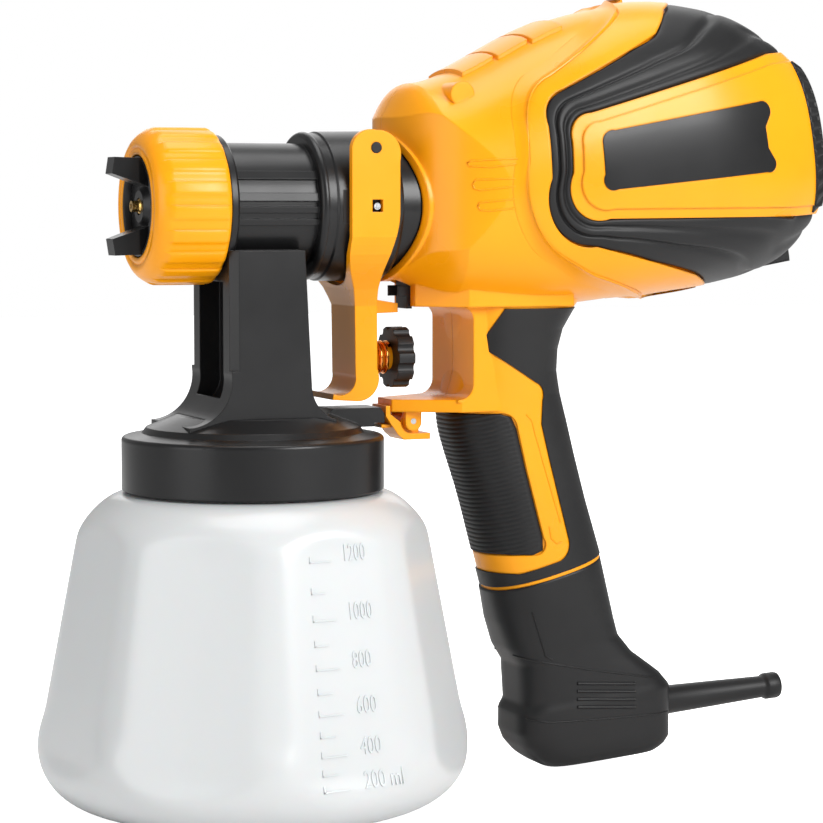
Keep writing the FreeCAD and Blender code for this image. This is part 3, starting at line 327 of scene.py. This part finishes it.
container = {
    "baseRadius": 0.0553, "bellyRadius": 0.0753, "bellyHeight": 0.020, "bellySteps": 10,
    "slopeRadius": 0.0726, "slopeHeight": 0.0325,
    "shoulderRadius": 0.0609, "shoulderHeight": 0.0945, "shoulderIn": 0.0075, "neckIn": 0.0085,
    "neckRadius": 0.0413, "neckFoot": 0.108, "neckTop": 0.1217, "wall": 0.0016,
    "flats": 8, "flatTurn": 31.0, "flatShare": 0.952, "creaseSoft": 0.0009, "segments": 128,
    "lowerFlare": (0.0067, 0.28), "upperTaper": (0.0039, 0.61),  # change of radius over a share of the slope
    "baseCore": 0.5, "baseInset": 0.004, "baseRim": 0.9,  # the flat base starts at a share of its radius
    "heights": (0.0225, 0.025, 0.028, 0.0325, 0.037, 0.043, 0.05, 0.058, 0.066, 0.074, 0.082, 0.088, 0.0925,
                0.0955, 0.098, 0.1003, 0.1024, 0.1042, 0.1057, 0.1068, 0.1076),
    # radius and height past the neck and its foot, past each bead's start, and short of the top
    "neckFillet": ((0.0027, 0.0), (0.0007, 0.0002), (0.0, 0.0010)),
    "beadStarts": (0.1118, 0.1162), "bead": ((0.0, 0.0), (0.0004, 0.0006), (0.0004, 0.0016), (0.0, 0.0022)),
    "lip": ((0.0, -0.0005), (-0.0003, 0.0)),
}
scale = {  # turns in degrees round the container, sizes and heights in metres
    "from": -91.3, "longTo": -83.6, "shortTo": -86.6, "numbers": -79.4, "raise": 0.00035, "line": 0.0004,
    "tick": 0.0021, "textHeight": 0.0080, "squeeze": 0.62, "wrapRadius": 0.0655,
    "barSteps": 4, "curveSteps": 4,
    "rows": {"1200": 0.0898, "1000": 0.0708, "800": 0.0551, "600": 0.0404, "400": 0.0272, "200 ml": 0.0163},
    "shortRows": (0.0797, 0.0628, 0.0474, 0.0336, 0.0214),
}


def blendedLow(first, second, soft):  # the lower of two values, rounded where they meet
    h = max(0.0, min(1.0, 0.5 + 0.5 * (second - first) / soft))
    return second * (1 - h) + first * h - soft * h * (1 - h)


def containerRound(z):  # radius of the round body at a height
    c = container
    if z <= c["bellyHeight"]:
        drop = (c["bellyHeight"] - z) / c["bellyHeight"]
        return c["baseRadius"] + (c["bellyRadius"] - c["baseRadius"]) * math.sqrt(max(0.0, 1 - drop * drop))
    if z <= c["slopeHeight"]:
        t = (z - c["bellyHeight"]) / (c["slopeHeight"] - c["bellyHeight"])
        return c["bellyRadius"] - (c["bellyRadius"] - c["slopeRadius"]) * t * t
    if z <= c["shoulderHeight"]:
        t = (z - c["slopeHeight"]) / (c["shoulderHeight"] - c["slopeHeight"])
        return c["slopeRadius"] + (c["shoulderRadius"] - c["slopeRadius"]) * t
    t = min(1.0, (z - c["shoulderHeight"]) / (c["neckFoot"] - c["shoulderHeight"]))
    return c["shoulderRadius"] - c["shoulderIn"] * t - c["neckIn"] * (1 - math.sqrt(max(0.0, 1 - t * t)))


def containerRadius(angle, z):  # radius with the flats between the creases
    c = container
    t = (z - c["bellyHeight"]) / (c["shoulderHeight"] - c["bellyHeight"])
    if t < 0:
        reach = c["bellyRadius"] + c["lowerFlare"][0] * -t / c["lowerFlare"][1]
    elif t < 1:
        reach = c["bellyRadius"] + (c["shoulderRadius"] - c["bellyRadius"]) * t
    else:
        reach = c["shoulderRadius"] - c["upperTaper"][0] * (t - 1) / c["upperTaper"][1]
    step = 360.0 / c["flats"]
    away = (angle - c["flatTurn"]) % step - step / 2
    flat = reach * c["flatShare"] / math.cos(math.radians(away))
    return blendedLow(containerRound(z), flat, c["creaseSoft"])


def buildContainer():
    c = container
    quarter = [math.radians(90 * i / c["bellySteps"]) for i in range(c["bellySteps"] + 1)]
    rings = [(c["baseRadius"] * c["baseRim"], 0.0)]
    rings += [(None, c["bellyHeight"] * (1 - math.cos(turn))) for turn in quarter]
    rings += [(None, z) for z in c["heights"]]
    beads = [(z, "bead") for z in c["beadStarts"]]
    for start, form in [(c["neckFoot"], "neckFillet"), *beads, (c["neckTop"], "lip")]:
        rings += [(c["neckRadius"] + out, start + up) for out, up in c[form]]
    bm = bmesh.new()
    bmesh.ops.create_circle(bm, cap_ends=True, segments=c["segments"], radius=c["baseRadius"] * c["baseCore"])
    bmesh.ops.inset_individual(bm, faces=bm.faces[:], thickness=c["baseInset"], use_even_offset=True)
    edges = [edge for edge in bm.edges if edge.is_boundary]
    for radius, z in rings:
        made = bmesh.ops.extrude_edge_only(bm, edges=edges)["geom"]
        edges = [item for item in made if isinstance(item, bmesh.types.BMEdge) and item.is_boundary]
        for vert in (item for item in made if isinstance(item, bmesh.types.BMVert)):
            angle = math.atan2(vert.co.y, vert.co.x)
            reach = radius if radius else containerRadius(math.degrees(angle), z)
            vert.co = (reach * math.cos(angle), reach * math.sin(angle), z)
    piece = newPiece("milkyContainer", closeUp(bm, 1e-5), "milkyPlastic", "container", ["paint_container"])
    addModifier(piece, "SOLIDIFY", thickness=c["wall"], offset=-1.0)
    addModifier(piece, "SUBSURF", levels=1, render_levels=1)
    return piece


def wrapOnContainer(bm, angle, z):  # lays a flat X and Y drawing on the container's side
    for vert in bm.verts:
        turn = angle + math.degrees(vert.co.x / scale["wrapRadius"])
        height = z + vert.co.y
        reach = containerRadius(turn, height) + vert.co.z
        vert.co = (reach * math.cos(math.radians(turn)), reach * math.sin(math.radians(turn)), height)


def scaleBar(bm, start, end, low, high):  # a flat bar, half sunk in the wall
    made = bmesh.ops.create_cube(bm, size=1.0)["verts"]
    size = Vector((end - start, high - low, scale["raise"] * 2))
    bmesh.ops.scale(bm, vec=size, verts=made)
    bmesh.ops.translate(bm, vec=((start + end) / 2, (low + high) / 2, 0), verts=made)


def buildScale():
    bm = bmesh.new()
    rows = [(z, "longTo") for z in scale["rows"].values()] + [(z, "shortTo") for z in scale["shortRows"]]
    for z, end in rows:
        part = bmesh.new()
        width = math.radians(scale[end] - scale["from"]) * scale["wrapRadius"]
        count = scale["barSteps"]
        for i in range(count):
            scaleBar(part, width * i / count, width * (i + 1) / count, 0, scale["line"])
        scaleBar(part, 0, scale["line"], 0, scale["tick"])
        wrapOnContainer(part, scale["from"], z)
        copyInto(bm, part)
    for text, z in scale["rows"].items():
        part = letterMesh(text)
        wrapOnContainer(part, scale["numbers"], z)
        copyInto(bm, part)
    bmesh.ops.recalc_face_normals(bm, faces=bm.faces[:])
    return newPiece("containerScale", bm, "milkyPlastic", "container", smooth=False)


def letterMesh(text):  # a raised number, flat in X and Y
    curve = bpy.data.curves.new("number", "FONT")
    curve.body = text
    curve.size = scale["textHeight"]
    curve.extrude = scale["raise"]
    curve.resolution_u = scale["curveSteps"]
    holder = bpy.data.objects.new("number", curve)
    scene.collection.objects.link(holder)
    mesh = bpy.data.meshes.new_from_object(holder)
    part = bmesh.new()
    part.from_mesh(mesh)
    bmesh.ops.scale(part, vec=(scale["squeeze"], 1, 1), verts=part.verts[:])
    bpy.data.objects.remove(holder)
    bpy.data.curves.remove(curve)
    bpy.data.meshes.remove(mesh)
    return part


buildContainer()
buildScale()
print("container done")


# nozzle nut

nut = {
    "ribs": 20, "step": 0.0003, "wall": 0.002,
    # distance along the barrel, radius and share of the ribs, in millimetres
    "profile": ((-38.4, 17.45, 0), (-41.2, 17.45, 0), (-41.45, 17.7, 0), (-41.45, 19.3, 0), (-41.1, 19.5, 0),
                (-41.1, 20.0, 0), (-41.45, 20.2, 0), (-41.45, 21.6, 0), (-41.25, 22.4, 0), (-40.5, 23.6, 0),
                (-39.4, 24.7, 0), (-38.2, 25.5, 0.05), (-37.2, 26.0, 0.3), (-36.2, 26.35, 0.8),
                (-35.4, 26.45, 1), (-26.0, 26.5, 1), (-17.6, 26.45, 1), (-16.7, 26.1, 0.9),
                (-15.9, 25.4, 0.5), (-15.5, 24.6, 0.1), (-15.45, 23.6, 0), (-15.45, 20.7, 0)),
    # one rib: shares of its pitch, and heights in steps
    "shares": (0.0, 0.03, 0.2, 0.4, 0.5, 0.55, 0.6, 0.7, 0.85, 0.95, 0.985),
    "heights": (1.0, 1.15, 1.2, 1.15, 0.9, 0.0, -0.7, -0.85, -0.9, -1.0, -1.5),
}


def buildNut():
    shares, heights = nut["shares"], nut["heights"]
    around = nut["ribs"] * len(shares)

    def place(column, row):
        rib, part = divmod(column % around, len(shares))
        turn = math.tau * (rib + shares[part]) / nut["ribs"]
        x, radius, share = nut["profile"][row]
        reach = radius / 1000 + nut["step"] * heights[part] * share
        return (x / 1000, reach * math.cos(turn), barrelHeight + reach * math.sin(turn))

    piece = newPiece("ribbedNut", closeUp(gridMesh(around, len(nut["profile"]) - 1, place)), "amberPlastic",
                     "nozzle_nut", ["nozzle_nut"])
    addModifier(piece, "SOLIDIFY", thickness=nut["wall"], offset=-1.0)
    return piece


buildNut()


# soft rim and ridged bands on the motor housing

pitch = math.radians(9.0)  # the motor's axis rises to the rear
axisStart = Vector((0.05, 0.0, barrelHeight))
axisLength = 0.1581
blankReach = 0.03  # where a ray finds a gap in the surface
# edges in the side view, steps for each stretch, and the lift at shares of the width, in millimetres
rim = {
    "far": ((137.0, 293), (126.6, 278.0), (107.4, 264.0), (94.2, 255.2), (84.6, 247.6, 81.0, 236.4),
            (80.8, 221.8), (84.2, 196.8, 98.6, 184.6), (111.4, 178.8), (136.0, 172.3), (174, 161.7)),
    "near": ((141.2, 289.6), (130.2, 274.2), (110.2, 260.0), (97.1, 251.2), (89.2, 244.8, 86.0, 236.0),
             (85.8, 222.0), (89.0, 199.9, 101.3, 189.0), (113.2, 183.4), (137.1, 177.0), (175.2, 166.4)),
    "counts": (14, 12, 10, 12, 10, 18, 8, 12, 14),
    "profile": ((0.0, -0.4), (0.03, -0.02), (0.12, 0.05), (0.25, 0.13), (0.4, 0.32), (0.55, 0.62),
                (0.68, 0.95), (0.8, 1.2), (0.88, 1.3), (0.905, 1.33), (0.925, 0.02), (1.0, -0.06)),
}
band = {
    "far": ((200, 301.2), (147.6, 276.4), (138.2, 266.8), (99.7, 246.8), (93.9, 242.4, 92.7, 234.0),
            (93.3, 216.0), (94.7, 200.4, 111.8, 192.4), (158.2, 182.0), (220, 160)),
    "near": ((203, 263.2), (184.5, 261.0), (165, 255.2), (108.5, 238.6), (102.4, 235.6, 101.0, 228.6),
             (101.2, 218.0), (104.0, 204.2, 115.2, 202.2), (192.3, 202.9), (212, 203.9)),
    "counts": (24, 8, 30, 14, 12, 18, 30, 24),
    "profile": ((0.0, -2.4), (0.0, -0.7), (0.015, -0.25), (0.045, -0.05), (0.10, 0.0), (0.29, 0.1),
                (0.33, 0.0), (0.36, -0.5), (0.385, -0.75), (0.41, -0.6), (0.44, 0.25), (0.465, 0.6),
                (0.50, 0.7), (0.60, 0.55), (0.65, 0.3), (0.69, -0.25), (0.73, -0.5), (0.77, -0.35),
                (0.81, 0.15), (0.85, 0.3), (0.93, 0.2), (0.97, -0.1), (1.0, -0.7), (1.0, -2.4)),
}
smoothing = {"edges": 3, "reaches": 8}  # passes


def aroundAxis(surface, x, z, side):  # a side view point as a distance along the axis and a turn about it
    s = (x - axisStart.x) * math.cos(pitch) + (z - axisStart.z) * math.sin(pitch)
    t = (z - axisStart.z) * math.cos(pitch) - (x - axisStart.x) * math.sin(pitch)
    hit = sideHit(surface, x, z, side)
    if hit is None:
        return s, math.copysign(math.pi / 2, t)
    return s, math.atan2(t, abs(hit.y))


def fromAxis(surface, s, turn, side, limit=0.1):  # the surface's distance, its point on the axis, the way out
    middle = axisStart + Vector((math.cos(pitch), 0, math.sin(pitch))) * min(s, axisLength)
    rise = math.sin(turn)
    outward = Vector((-math.sin(pitch) * rise, side * math.cos(turn), math.cos(pitch) * rise))
    hit = surface.ray_cast(middle + outward * limit, -outward, limit)[0]
    return (None if hit is None else (hit - middle).length), middle, outward


def evened(values, passes):  # a moving average that keeps both ends
    for _ in range(passes):
        inner = [(a + 2 * b + c) / 4 for a, b, c in zip(values, values[1:], values[2:])]
        values = [values[0]] + inner + [values[-1]]
    return values


def sideStrip(form, outlines, surface, side):  # a profiled strip between two edges, laid on the surface
    ends = []
    for edge in ("far", "near"):
        path = [aroundAxis(outlines, x, z, side) for x, z in traced(form[edge], form["counts"])]
        ends.append([evened([spot[i] for spot in path], smoothing["edges"]) for i in (0, 1)])
    (farS, farTurn), (nearS, nearTurn) = ends
    columns = []
    for share, lift in form["profile"]:
        spots, reaches = [], []
        for s0, turn0, s1, turn1 in zip(farS, farTurn, nearS, nearTurn):
            s, turn = s0 + (s1 - s0) * share, turn0 + (turn1 - turn0) * share
            reach, middle, outward = fromAxis(surface, s, turn, side)
            spots.append((middle, outward))
            reaches.append(reach if reach is not None else (reaches[-1] if reaches else blankReach))
        reaches = evened(reaches, smoothing["reaches"])
        columns.append([middle + outward * (reach + lift / 1000)
                        for (middle, outward), reach in zip(spots, reaches)])
    return gridMesh(len(columns) - 1, len(columns[0]) - 1, lambda column, row: columns[column][row])


for sideName, side in sides:
    shell = surfaceOf("housing_" + sideName, "side_band_" + sideName, "badge_plate_" + sideName)
    ridged = sideStrip(band, shell, surfaceOf("side_band_" + sideName), side)
    piece = newPiece("ridgedBand" + sideName.title(), closeUp(ridged), "softBlack", "housing",
                     ["side_band_" + sideName])
    addModifier(piece, "SUBSURF", levels=1, render_levels=1)
    soft = sideStrip(rim, shell, shell, side)
    newPiece("softRim" + sideName.title(), closeUp(soft), "amberPlastic", "housing")


# raised lines on the housing

marks = {
    "radius": 0.00032, "step": 0.0007,
    "lines": (((81.8, 222.7), (67.0, 222.1), (65.8, 221.4), (66.5, 220.2), (72.7, 219.8), (82.0, 221.0)),
              ((80.8, 215.9), (68.3, 215.6), (67.3, 214.2), (67.8, 212.6), (69.8, 212.0), (81.6, 213.4)),
              ((80.9, 209.0), (69.5, 207.8), (68.8, 206.7), (69.6, 205.3), (72.3, 204.9), (81.6, 206.0)),
              ((95.7, 132.9), (98.0, 130.7), (99.2, 126.4), (104.8, 109.0), (110.0, 93.1)),
              ((105.2, 92.6), (106.1, 88.2), (108.4, 86.3), (110.8, 86.9))),  # X and Z in millimetres
}


def lineOnSide(surface, points, side):  # a line drawn in the side view, laid on the surface
    path = []
    for (x0, z0), (x1, z1) in zip(points, points[1:]):
        count = max(1, round(math.hypot(x1 - x0, z1 - z0) / 1000 / marks["step"]))
        for i in range(count):
            x, z = (x0 + (x1 - x0) * i / count) / 1000, (z0 + (z1 - z0) * i / count) / 1000
            hit = sideHit(surface, x, z, side)
            if hit is not None:
                path.append(hit)
    return path


def wireMesh(path, radius, around=8):  # a round wire along a path
    rings = []
    for i, spot in enumerate(path):
        along = (path[min(i + 1, len(path) - 1)] - path[max(i - 1, 0)]).normalized()
        across = along.cross(Vector((0, 0, 1)) if abs(along.z) < 0.9 else Vector((1, 0, 0))).normalized()
        rings.append((spot, across, along.cross(across)))

    def place(column, row):
        spot, across, up = rings[column]
        turn = math.tau * row / around
        return spot + (across * math.cos(turn) + up * math.sin(turn)) * radius

    return closeUp(gridMesh(len(rings) - 1, around, place))


for sideName, side in sides:
    shell = surfaceOf("housing_" + sideName)
    drawn = bmesh.new()
    for points in marks["lines"]:
        copyInto(drawn, wireMesh(lineOnSide(shell, points, side), marks["radius"]))
    newPiece("lines" + sideName.title(), drawn, "amberPlastic", "housing")
print("housing pieces done")


# turned pieces: air cap rim and cord boot

# start, slope in degrees, and distance along the axis with the radius, in millimetres
capRim = {
    "start": (0.0, barrelHeight), "slope": 0.0, "count": 96,
    "profile": ((-38.3, 17.1), (-41.0, 17.1), (-41.25, 16.85), (-41.25, 15.9), (-41.0, 15.6), (-38.3, 15.4)),
}
cordBoot = {
    "start": (0.150, 0.0225), "slope": -3.0, "count": 48,
    "profile": ((1.7, 3.7), (1.7, 6.2), (6.0, 5.75), (6.6, 5.5), (30.0, 4.8), (52.0, 4.1), (53.0, 4.2),
                (53.6, 4.7), (54.2, 4.95), (58.4, 4.95), (59.2, 4.7), (59.4, 4.2), (59.4, 3.7),
                (20.0, 3.65), (1.7, 3.7)),
}


def turnedMesh(form):
    profile, count = form["profile"], form["count"]
    slope = math.radians(form["slope"])

    def place(column, row):
        along, radius = (value / 1000 for value in profile[row])
        turn = math.tau * column / count
        up = radius * math.sin(turn)
        x = form["start"][0] + along * math.cos(slope) + up * math.sin(slope)
        z = form["start"][1] - along * math.sin(slope) + up * math.cos(slope)
        return (x, radius * math.cos(turn), z)

    return closeUp(gridMesh(count, len(profile) - 1, place))


newPiece("capRim", turnedMesh(capRim), "blackGloss", "air_cap")
newPiece("cordBoot", turnedMesh(cordBoot), "softBlack", "housing", ["strain_relief_boot"])


# adjuster spring

spring = {"start": 0.0426, "axis": 0.1534, "radius": 0.0052, "wire": 0.00075, "turns": 3.35, "pitch": 0.0022,
          "steps": 32, "around": 10}


def coilPath(form):
    path = []
    for i in range(int(form["turns"] * form["steps"]) + 1):
        turn = math.tau * i / form["steps"]
        x = form["start"] + form["pitch"] * i / form["steps"]
        y, z = form["radius"] * math.cos(turn), form["axis"] + form["radius"] * math.sin(turn)
        path.append(Vector((x, y, z)))
    return path


coil = wireMesh(coilPath(spring), spring["wire"], spring["around"])
newPiece("adjusterCoil", coil, "copperWire", "trigger", ["adjuster_spring"])


# ribbed front grip

grip = {  # millimetres
    # height, centre, half depth, half width and squareness
    "sections": ((176.0, 98.6, 24.0, 23.0, 3.0), (163.0, 94.4, 19.2, 21.4, 3.0),
                 (148.0, 93.6, 18.2, 20.0, 2.8), (130.0, 94.4, 22.6, 18.8, 2.5),
                 (101.0, 102.6, 22.4, 18.3, 2.4), (64.0, 113.4, 23.4, 17.8, 2.4)),
    "edge": ((81.6, 60.0), (82.4, 99.6), (84.0, 103.4), (88.6, 103.2), (113.2, 96.3), (128.0, 92.6),
             (132.2, 90.4), (133.6, 85.2)),
    "proud": 0.5, "pitch": 1.7, "rise": 0.25, "deep": 0.5, "low": 82.5, "high": 133.4,
    "rows": 240, "columns": 56,
    "grooveShare": 0.22, "fadeShare": 0.25, "tuck": -1.2,  # the edges are tucked under the shell
}


def handleSection(z):  # centre, half depth, half width and squareness at a height
    sections = grip["sections"]
    i = max(0, min(len(sections) - 2, sum(1 for section in sections if section[0] > z) - 1))
    p0, p1 = sections[max(i - 1, 0)], sections[i]
    p2, p3 = sections[i + 1], sections[min(i + 2, len(sections) - 1)]
    t = (p1[0] - z) / (p1[0] - p2[0])
    for _ in range(6):  # steps towards the share with this height
        height = curved(p0[0], p1[0], p2[0], p3[0], t)
        t += (height - z) / (p1[0] - p2[0])
    return [curved(a, b, c, d, t) for a, b, c, d in zip(p0[1:], p1[1:], p2[1:], p3[1:])]


def curved(a, b, c, d, t):  # a smooth curve from b to c
    return 0.5 * (2 * b + (c - a) * t + (2 * a - 5 * b + 4 * c - d) * t ** 2
                  + (3 * b - a - 3 * c + d) * t ** 3)


def gripEdge(z):  # rear limit of the grip at a height
    for (z0, x0), (z1, x1) in zip(grip["edge"], grip["edge"][1:]):
        if z <= z1:
            return x0 + (x1 - x0) * max(0.0, z - z0) / (z1 - z0)
    return grip["edge"][-1][1]


def gripPoint(column, row):
    g = grip
    z = g["low"] + (g["high"] - g["low"]) * row / g["rows"]
    centre, depth, width, power = handleSection(z)
    share = (centre - gripEdge(z)) / depth
    reach = math.acos(max(-1.0, min(1.0, signedPower(share, power / 2))))
    part = 2 * column / g["columns"] - 1
    turn = reach * part
    x = centre - depth * signedPower(math.cos(turn), 2 / power)
    y = width * signedPower(math.sin(turn), 2 / power)
    phase = ((z - g["rise"] * x) / g["pitch"]) % 1.0
    groove = max(0.0, 1 - abs(phase - 0.5) / g["grooveShare"])
    fade = max(0.0, min(1.0, (1 - abs(part)) / g["fadeShare"]))
    lift = g["proud"] - g["deep"] * math.sqrt(groove) * fade
    if column in (0, g["columns"]) or row in (0, g["rows"]):
        lift = g["tuck"]
    outward = Vector(((x - centre) / depth, y / width, 0)).normalized()
    return Vector((x, y, z)) / 1000 + outward * lift / 1000


newPiece("ribbedGrip", closeUp(gridMesh(grip["columns"], grip["rows"], gripPoint)), "softBlack", "housing",
         ["front_grip"])
print("grip and small pieces done")


# foot with its slanted joint, louvres and panel lines

foot = {  # millimetres, over shares of the height
    "floorFrom": 55.3, "floorSlope": math.tan(math.radians(4.5)), "topFrom": (85.5, 67.9), "topRise": 0.265,
    "front": ((0.0, 108.0), (0.02, 106.0), (0.05, 103.4), (0.12, 99.4), (0.193, 97.4), (0.30, 97.4),
              (0.343, 99.2), (0.554, 98.4), (0.66, 94.2), (0.82, 90.6), (0.961, 88.6), (1.0, 88.0)),
    "rear": ((0.0, 153.0), (0.02, 156.0), (0.057, 158.3), (0.294, 158.6), (0.36, 154.6), (0.492, 143.0),
             (0.592, 137.6), (0.684, 136.0), (0.80, 134.4), (1.0, 131.6)),
    "half": ((0.0, 15.0), (0.03, 16.2), (0.08, 16.6), (0.30, 16.8), (0.33, 16.5), (0.6, 16.6), (0.8, 17.5),
             (1.0, 17.9)),
    "power": ((0.0, 5.0), (0.5, 4.2), (0.8, 3.0), (1.0, 2.5)),
    "rows": 72, "columns": 96,
    "lines": (((87.7, 47.3), (101.5, 43.9), (122.6, 39.6), (150.8, 34.5)),
              ((99.5, 61.7), (103.5, 49.9), (105.1, 45.4), (108.2, 43.8)),
              ((99.0, 22.9), (106.3, 21.4), (130.8, 21.3), (156.6, 21.5))),
    "lineRadius": 0.00035,
}
louvres = {"from": 117.5, "to": 141.5, "top": 34.9, "step": 2.85, "fall": 1.7, "count": 4, "radius": 0.0006}


def stepped(table, share):  # a value between the entries of a table
    for (a, first), (b, last) in zip(table, table[1:]):
        if share <= b:
            return first + (last - first) * (share - a) / (b - a)
    return table[-1][1]


def footPoint(column, row):
    f = foot
    share = row / f["rows"]
    front, rear = stepped(f["front"], share), stepped(f["rear"], share)
    power = stepped(f["power"], share)
    turn = math.tau * column / f["columns"]
    x = (front + rear) / 2 + (rear - front) / 2 * signedPower(math.cos(turn), 2 / power)
    y = stepped(f["half"], share) * signedPower(math.sin(turn), 2 / power)
    floor = (x - f["floorFrom"]) * f["floorSlope"]
    top = f["topFrom"][1] + (x - f["topFrom"][0]) * f["topRise"]
    return Vector((x, y, floor + (top - floor) * share)) / 1000


footMesh = closeUp(gridMesh(foot["columns"], foot["rows"], footPoint))
footSkin = BVHTree.FromBMesh(footMesh)
bmesh.ops.holes_fill(footMesh, edges=[edge for edge in footMesh.edges if edge.is_boundary], sides=0)
bmesh.ops.recalc_face_normals(footMesh, faces=footMesh.faces[:])
newPiece("footShell", footMesh, "blackSatin", "housing", ["foot_cover"])
for sideName, side in sides:
    drawn = bmesh.new()
    for points in foot["lines"]:
        copyInto(drawn, wireMesh(lineOnSide(footSkin, points, side), foot["lineRadius"]))
    for i in range(louvres["count"]):
        z = louvres["top"] - louvres["step"] * i
        slot = ((louvres["from"], z), (louvres["to"], z - louvres["fall"]))
        copyInto(drawn, wireMesh(lineOnSide(footSkin, slot, side), louvres["radius"]))
    newPiece("footLines" + sideName.title(), drawn, "blackSatin", "housing")
print("foot done")


# grille of the rear cover, where it wraps on to the sides

grille = {  # along the axis in metres, turns in degrees, lifts in millimetres
    "from": 0.1522, "to": axisLength, "low": -42.0, "high": 46.0, "rows": 176, "columns": 8, "slats": 11,
    "lift": 0.55, "rimLift": 0.3, "slatLift": 0.45, "steep": 2.2, "rimRows": 3, "rimShare": 0.2, "tuck": -0.8,
}


def grilleMesh(shell, side):
    g = grille

    def place(column, row):
        share, up = column / g["columns"], row / g["rows"]
        turn = math.radians(g["low"] + (g["high"] - g["low"]) * up)
        reach, middle, outward = fromAxis(shell, g["from"] + (g["to"] - g["from"]) * share, turn, side)
        inner = share > g["rimShare"] and column < g["columns"]
        inner = inner and g["rimRows"] < row < g["rows"] - g["rimRows"]
        wave = max(-1.0, min(1.0, g["steep"] * math.sin(math.tau * g["slats"] * up)))
        lift = g["lift"] + (g["slatLift"] * wave if inner else g["rimLift"])
        if column == 0 or row in (0, g["rows"]):
            lift = g["tuck"]
        return middle + outward * ((reach or blankReach) + lift / 1000)

    return closeUp(gridMesh(g["columns"], g["rows"], place))


for sideName, side in sides:
    newPiece("grille" + sideName.title(), grilleMesh(surfaceOf("housing_" + sideName), side), "blackSatin",
             "housing")
print("grille done")


# studio

studio = {
    "lens": 118.11, "sensor": 36.0, "nearClip": 0.01,
    "cameraAt": (-0.306506, -0.883692, 0.2065),
    "turn": -22.5,  # degrees, the camera looks along +Y turned towards +X
    "tilt": -4.346,
    "floorSize": 8.0, "floorGrey": 0.9, "floorRough": 0.8,
    "world": 0.34, "lampsAim": (0.06, 0, 0.14),
    "key": {"at": (0.75, -1.5, 0.95), "size": 0.8, "power": 30.0},
    "fill": {"at": (-1.5, -0.5, 0.5), "size": 1.0, "power": 7.0},
    "top": {"at": (0.1, 0.1, 1.6), "size": 1.0, "power": 12.0},
    "back": {"at": (0.6, 1.3, 0.9), "size": 1.2, "power": 6.0},
}


def addCamera():
    data = bpy.data.cameras.new("photoCamera")
    data.lens = studio["lens"]
    data.sensor_width = studio["sensor"]
    data.clip_start = studio["nearClip"]
    camera = bpy.data.objects.new("photoCamera", data)
    scene.collection.objects.link(camera)
    camera.location = studio["cameraAt"]
    camera.rotation_euler = (math.radians(90 + studio["tilt"]), 0, math.radians(studio["turn"]))
    scene.camera = camera


def addLamp(name):
    lamp = studio[name]
    data = bpy.data.lights.new(name, "AREA")
    data.shape = "SQUARE"
    data.size = lamp["size"]
    data.energy = lamp["power"]
    obj = bpy.data.objects.new(name, data)
    scene.collection.objects.link(obj)
    obj.location = lamp["at"]
    aim = Vector(studio["lampsAim"]) - Vector(lamp["at"])
    obj.rotation_euler = aim.to_track_quat("-Z", "Y").to_euler()


def addWorld():  # dim for the object, white for the camera and through clear plastic
    world = bpy.data.worlds.new("studioWorld")
    scene.world = world
    world.use_nodes = True
    tree = world.node_tree
    background = tree.nodes["Background"]
    rays = tree.nodes.new("ShaderNodeLightPath")
    seen = tree.nodes.new("ShaderNodeMath")
    seen.operation = "MAXIMUM"
    tree.links.new(rays.outputs["Is Camera Ray"], seen.inputs[0])
    tree.links.new(rays.outputs["Is Transmission Ray"], seen.inputs[1])
    level = tree.nodes.new("ShaderNodeMapRange")
    level.inputs["To Min"].default_value = studio["world"]
    level.inputs["To Max"].default_value = 1.0
    tree.links.new(seen.outputs[0], level.inputs["Value"])
    tree.links.new(level.outputs["Result"], background.inputs["Strength"])
    background.inputs["Color"].default_value = (1, 1, 1, 1)


def addFloor():  # white for the camera, with the object's shadow
    bm = bmesh.new()
    bmesh.ops.create_grid(bm, x_segments=1, y_segments=1, size=studio["floorSize"] / 2)
    mesh = bpy.data.meshes.new("floor")
    bm.to_mesh(mesh)
    bm.free()
    floor = bpy.data.objects.new("floor", mesh)
    scene.collection.objects.link(floor)
    material, tree, shader = newMaterial("paleFloor")
    shader.inputs["Base Color"].default_value = (*[studio["floorGrey"]] * 3, 1)
    shader.inputs["Roughness"].default_value = studio["floorRough"]
    rays = tree.nodes.new("ShaderNodeLightPath")
    tree.links.new(rays.outputs["Is Camera Ray"], shader.inputs["Emission Strength"])
    shader.inputs["Emission Color"].default_value = (1, 1, 1, 1)
    mesh.materials.append(material)


addCamera()
for lampName in ("key", "fill", "top", "back"):
    addLamp(lampName)
addWorld()
addFloor()
scene.view_settings.view_transform = "Standard"
print("studio done")
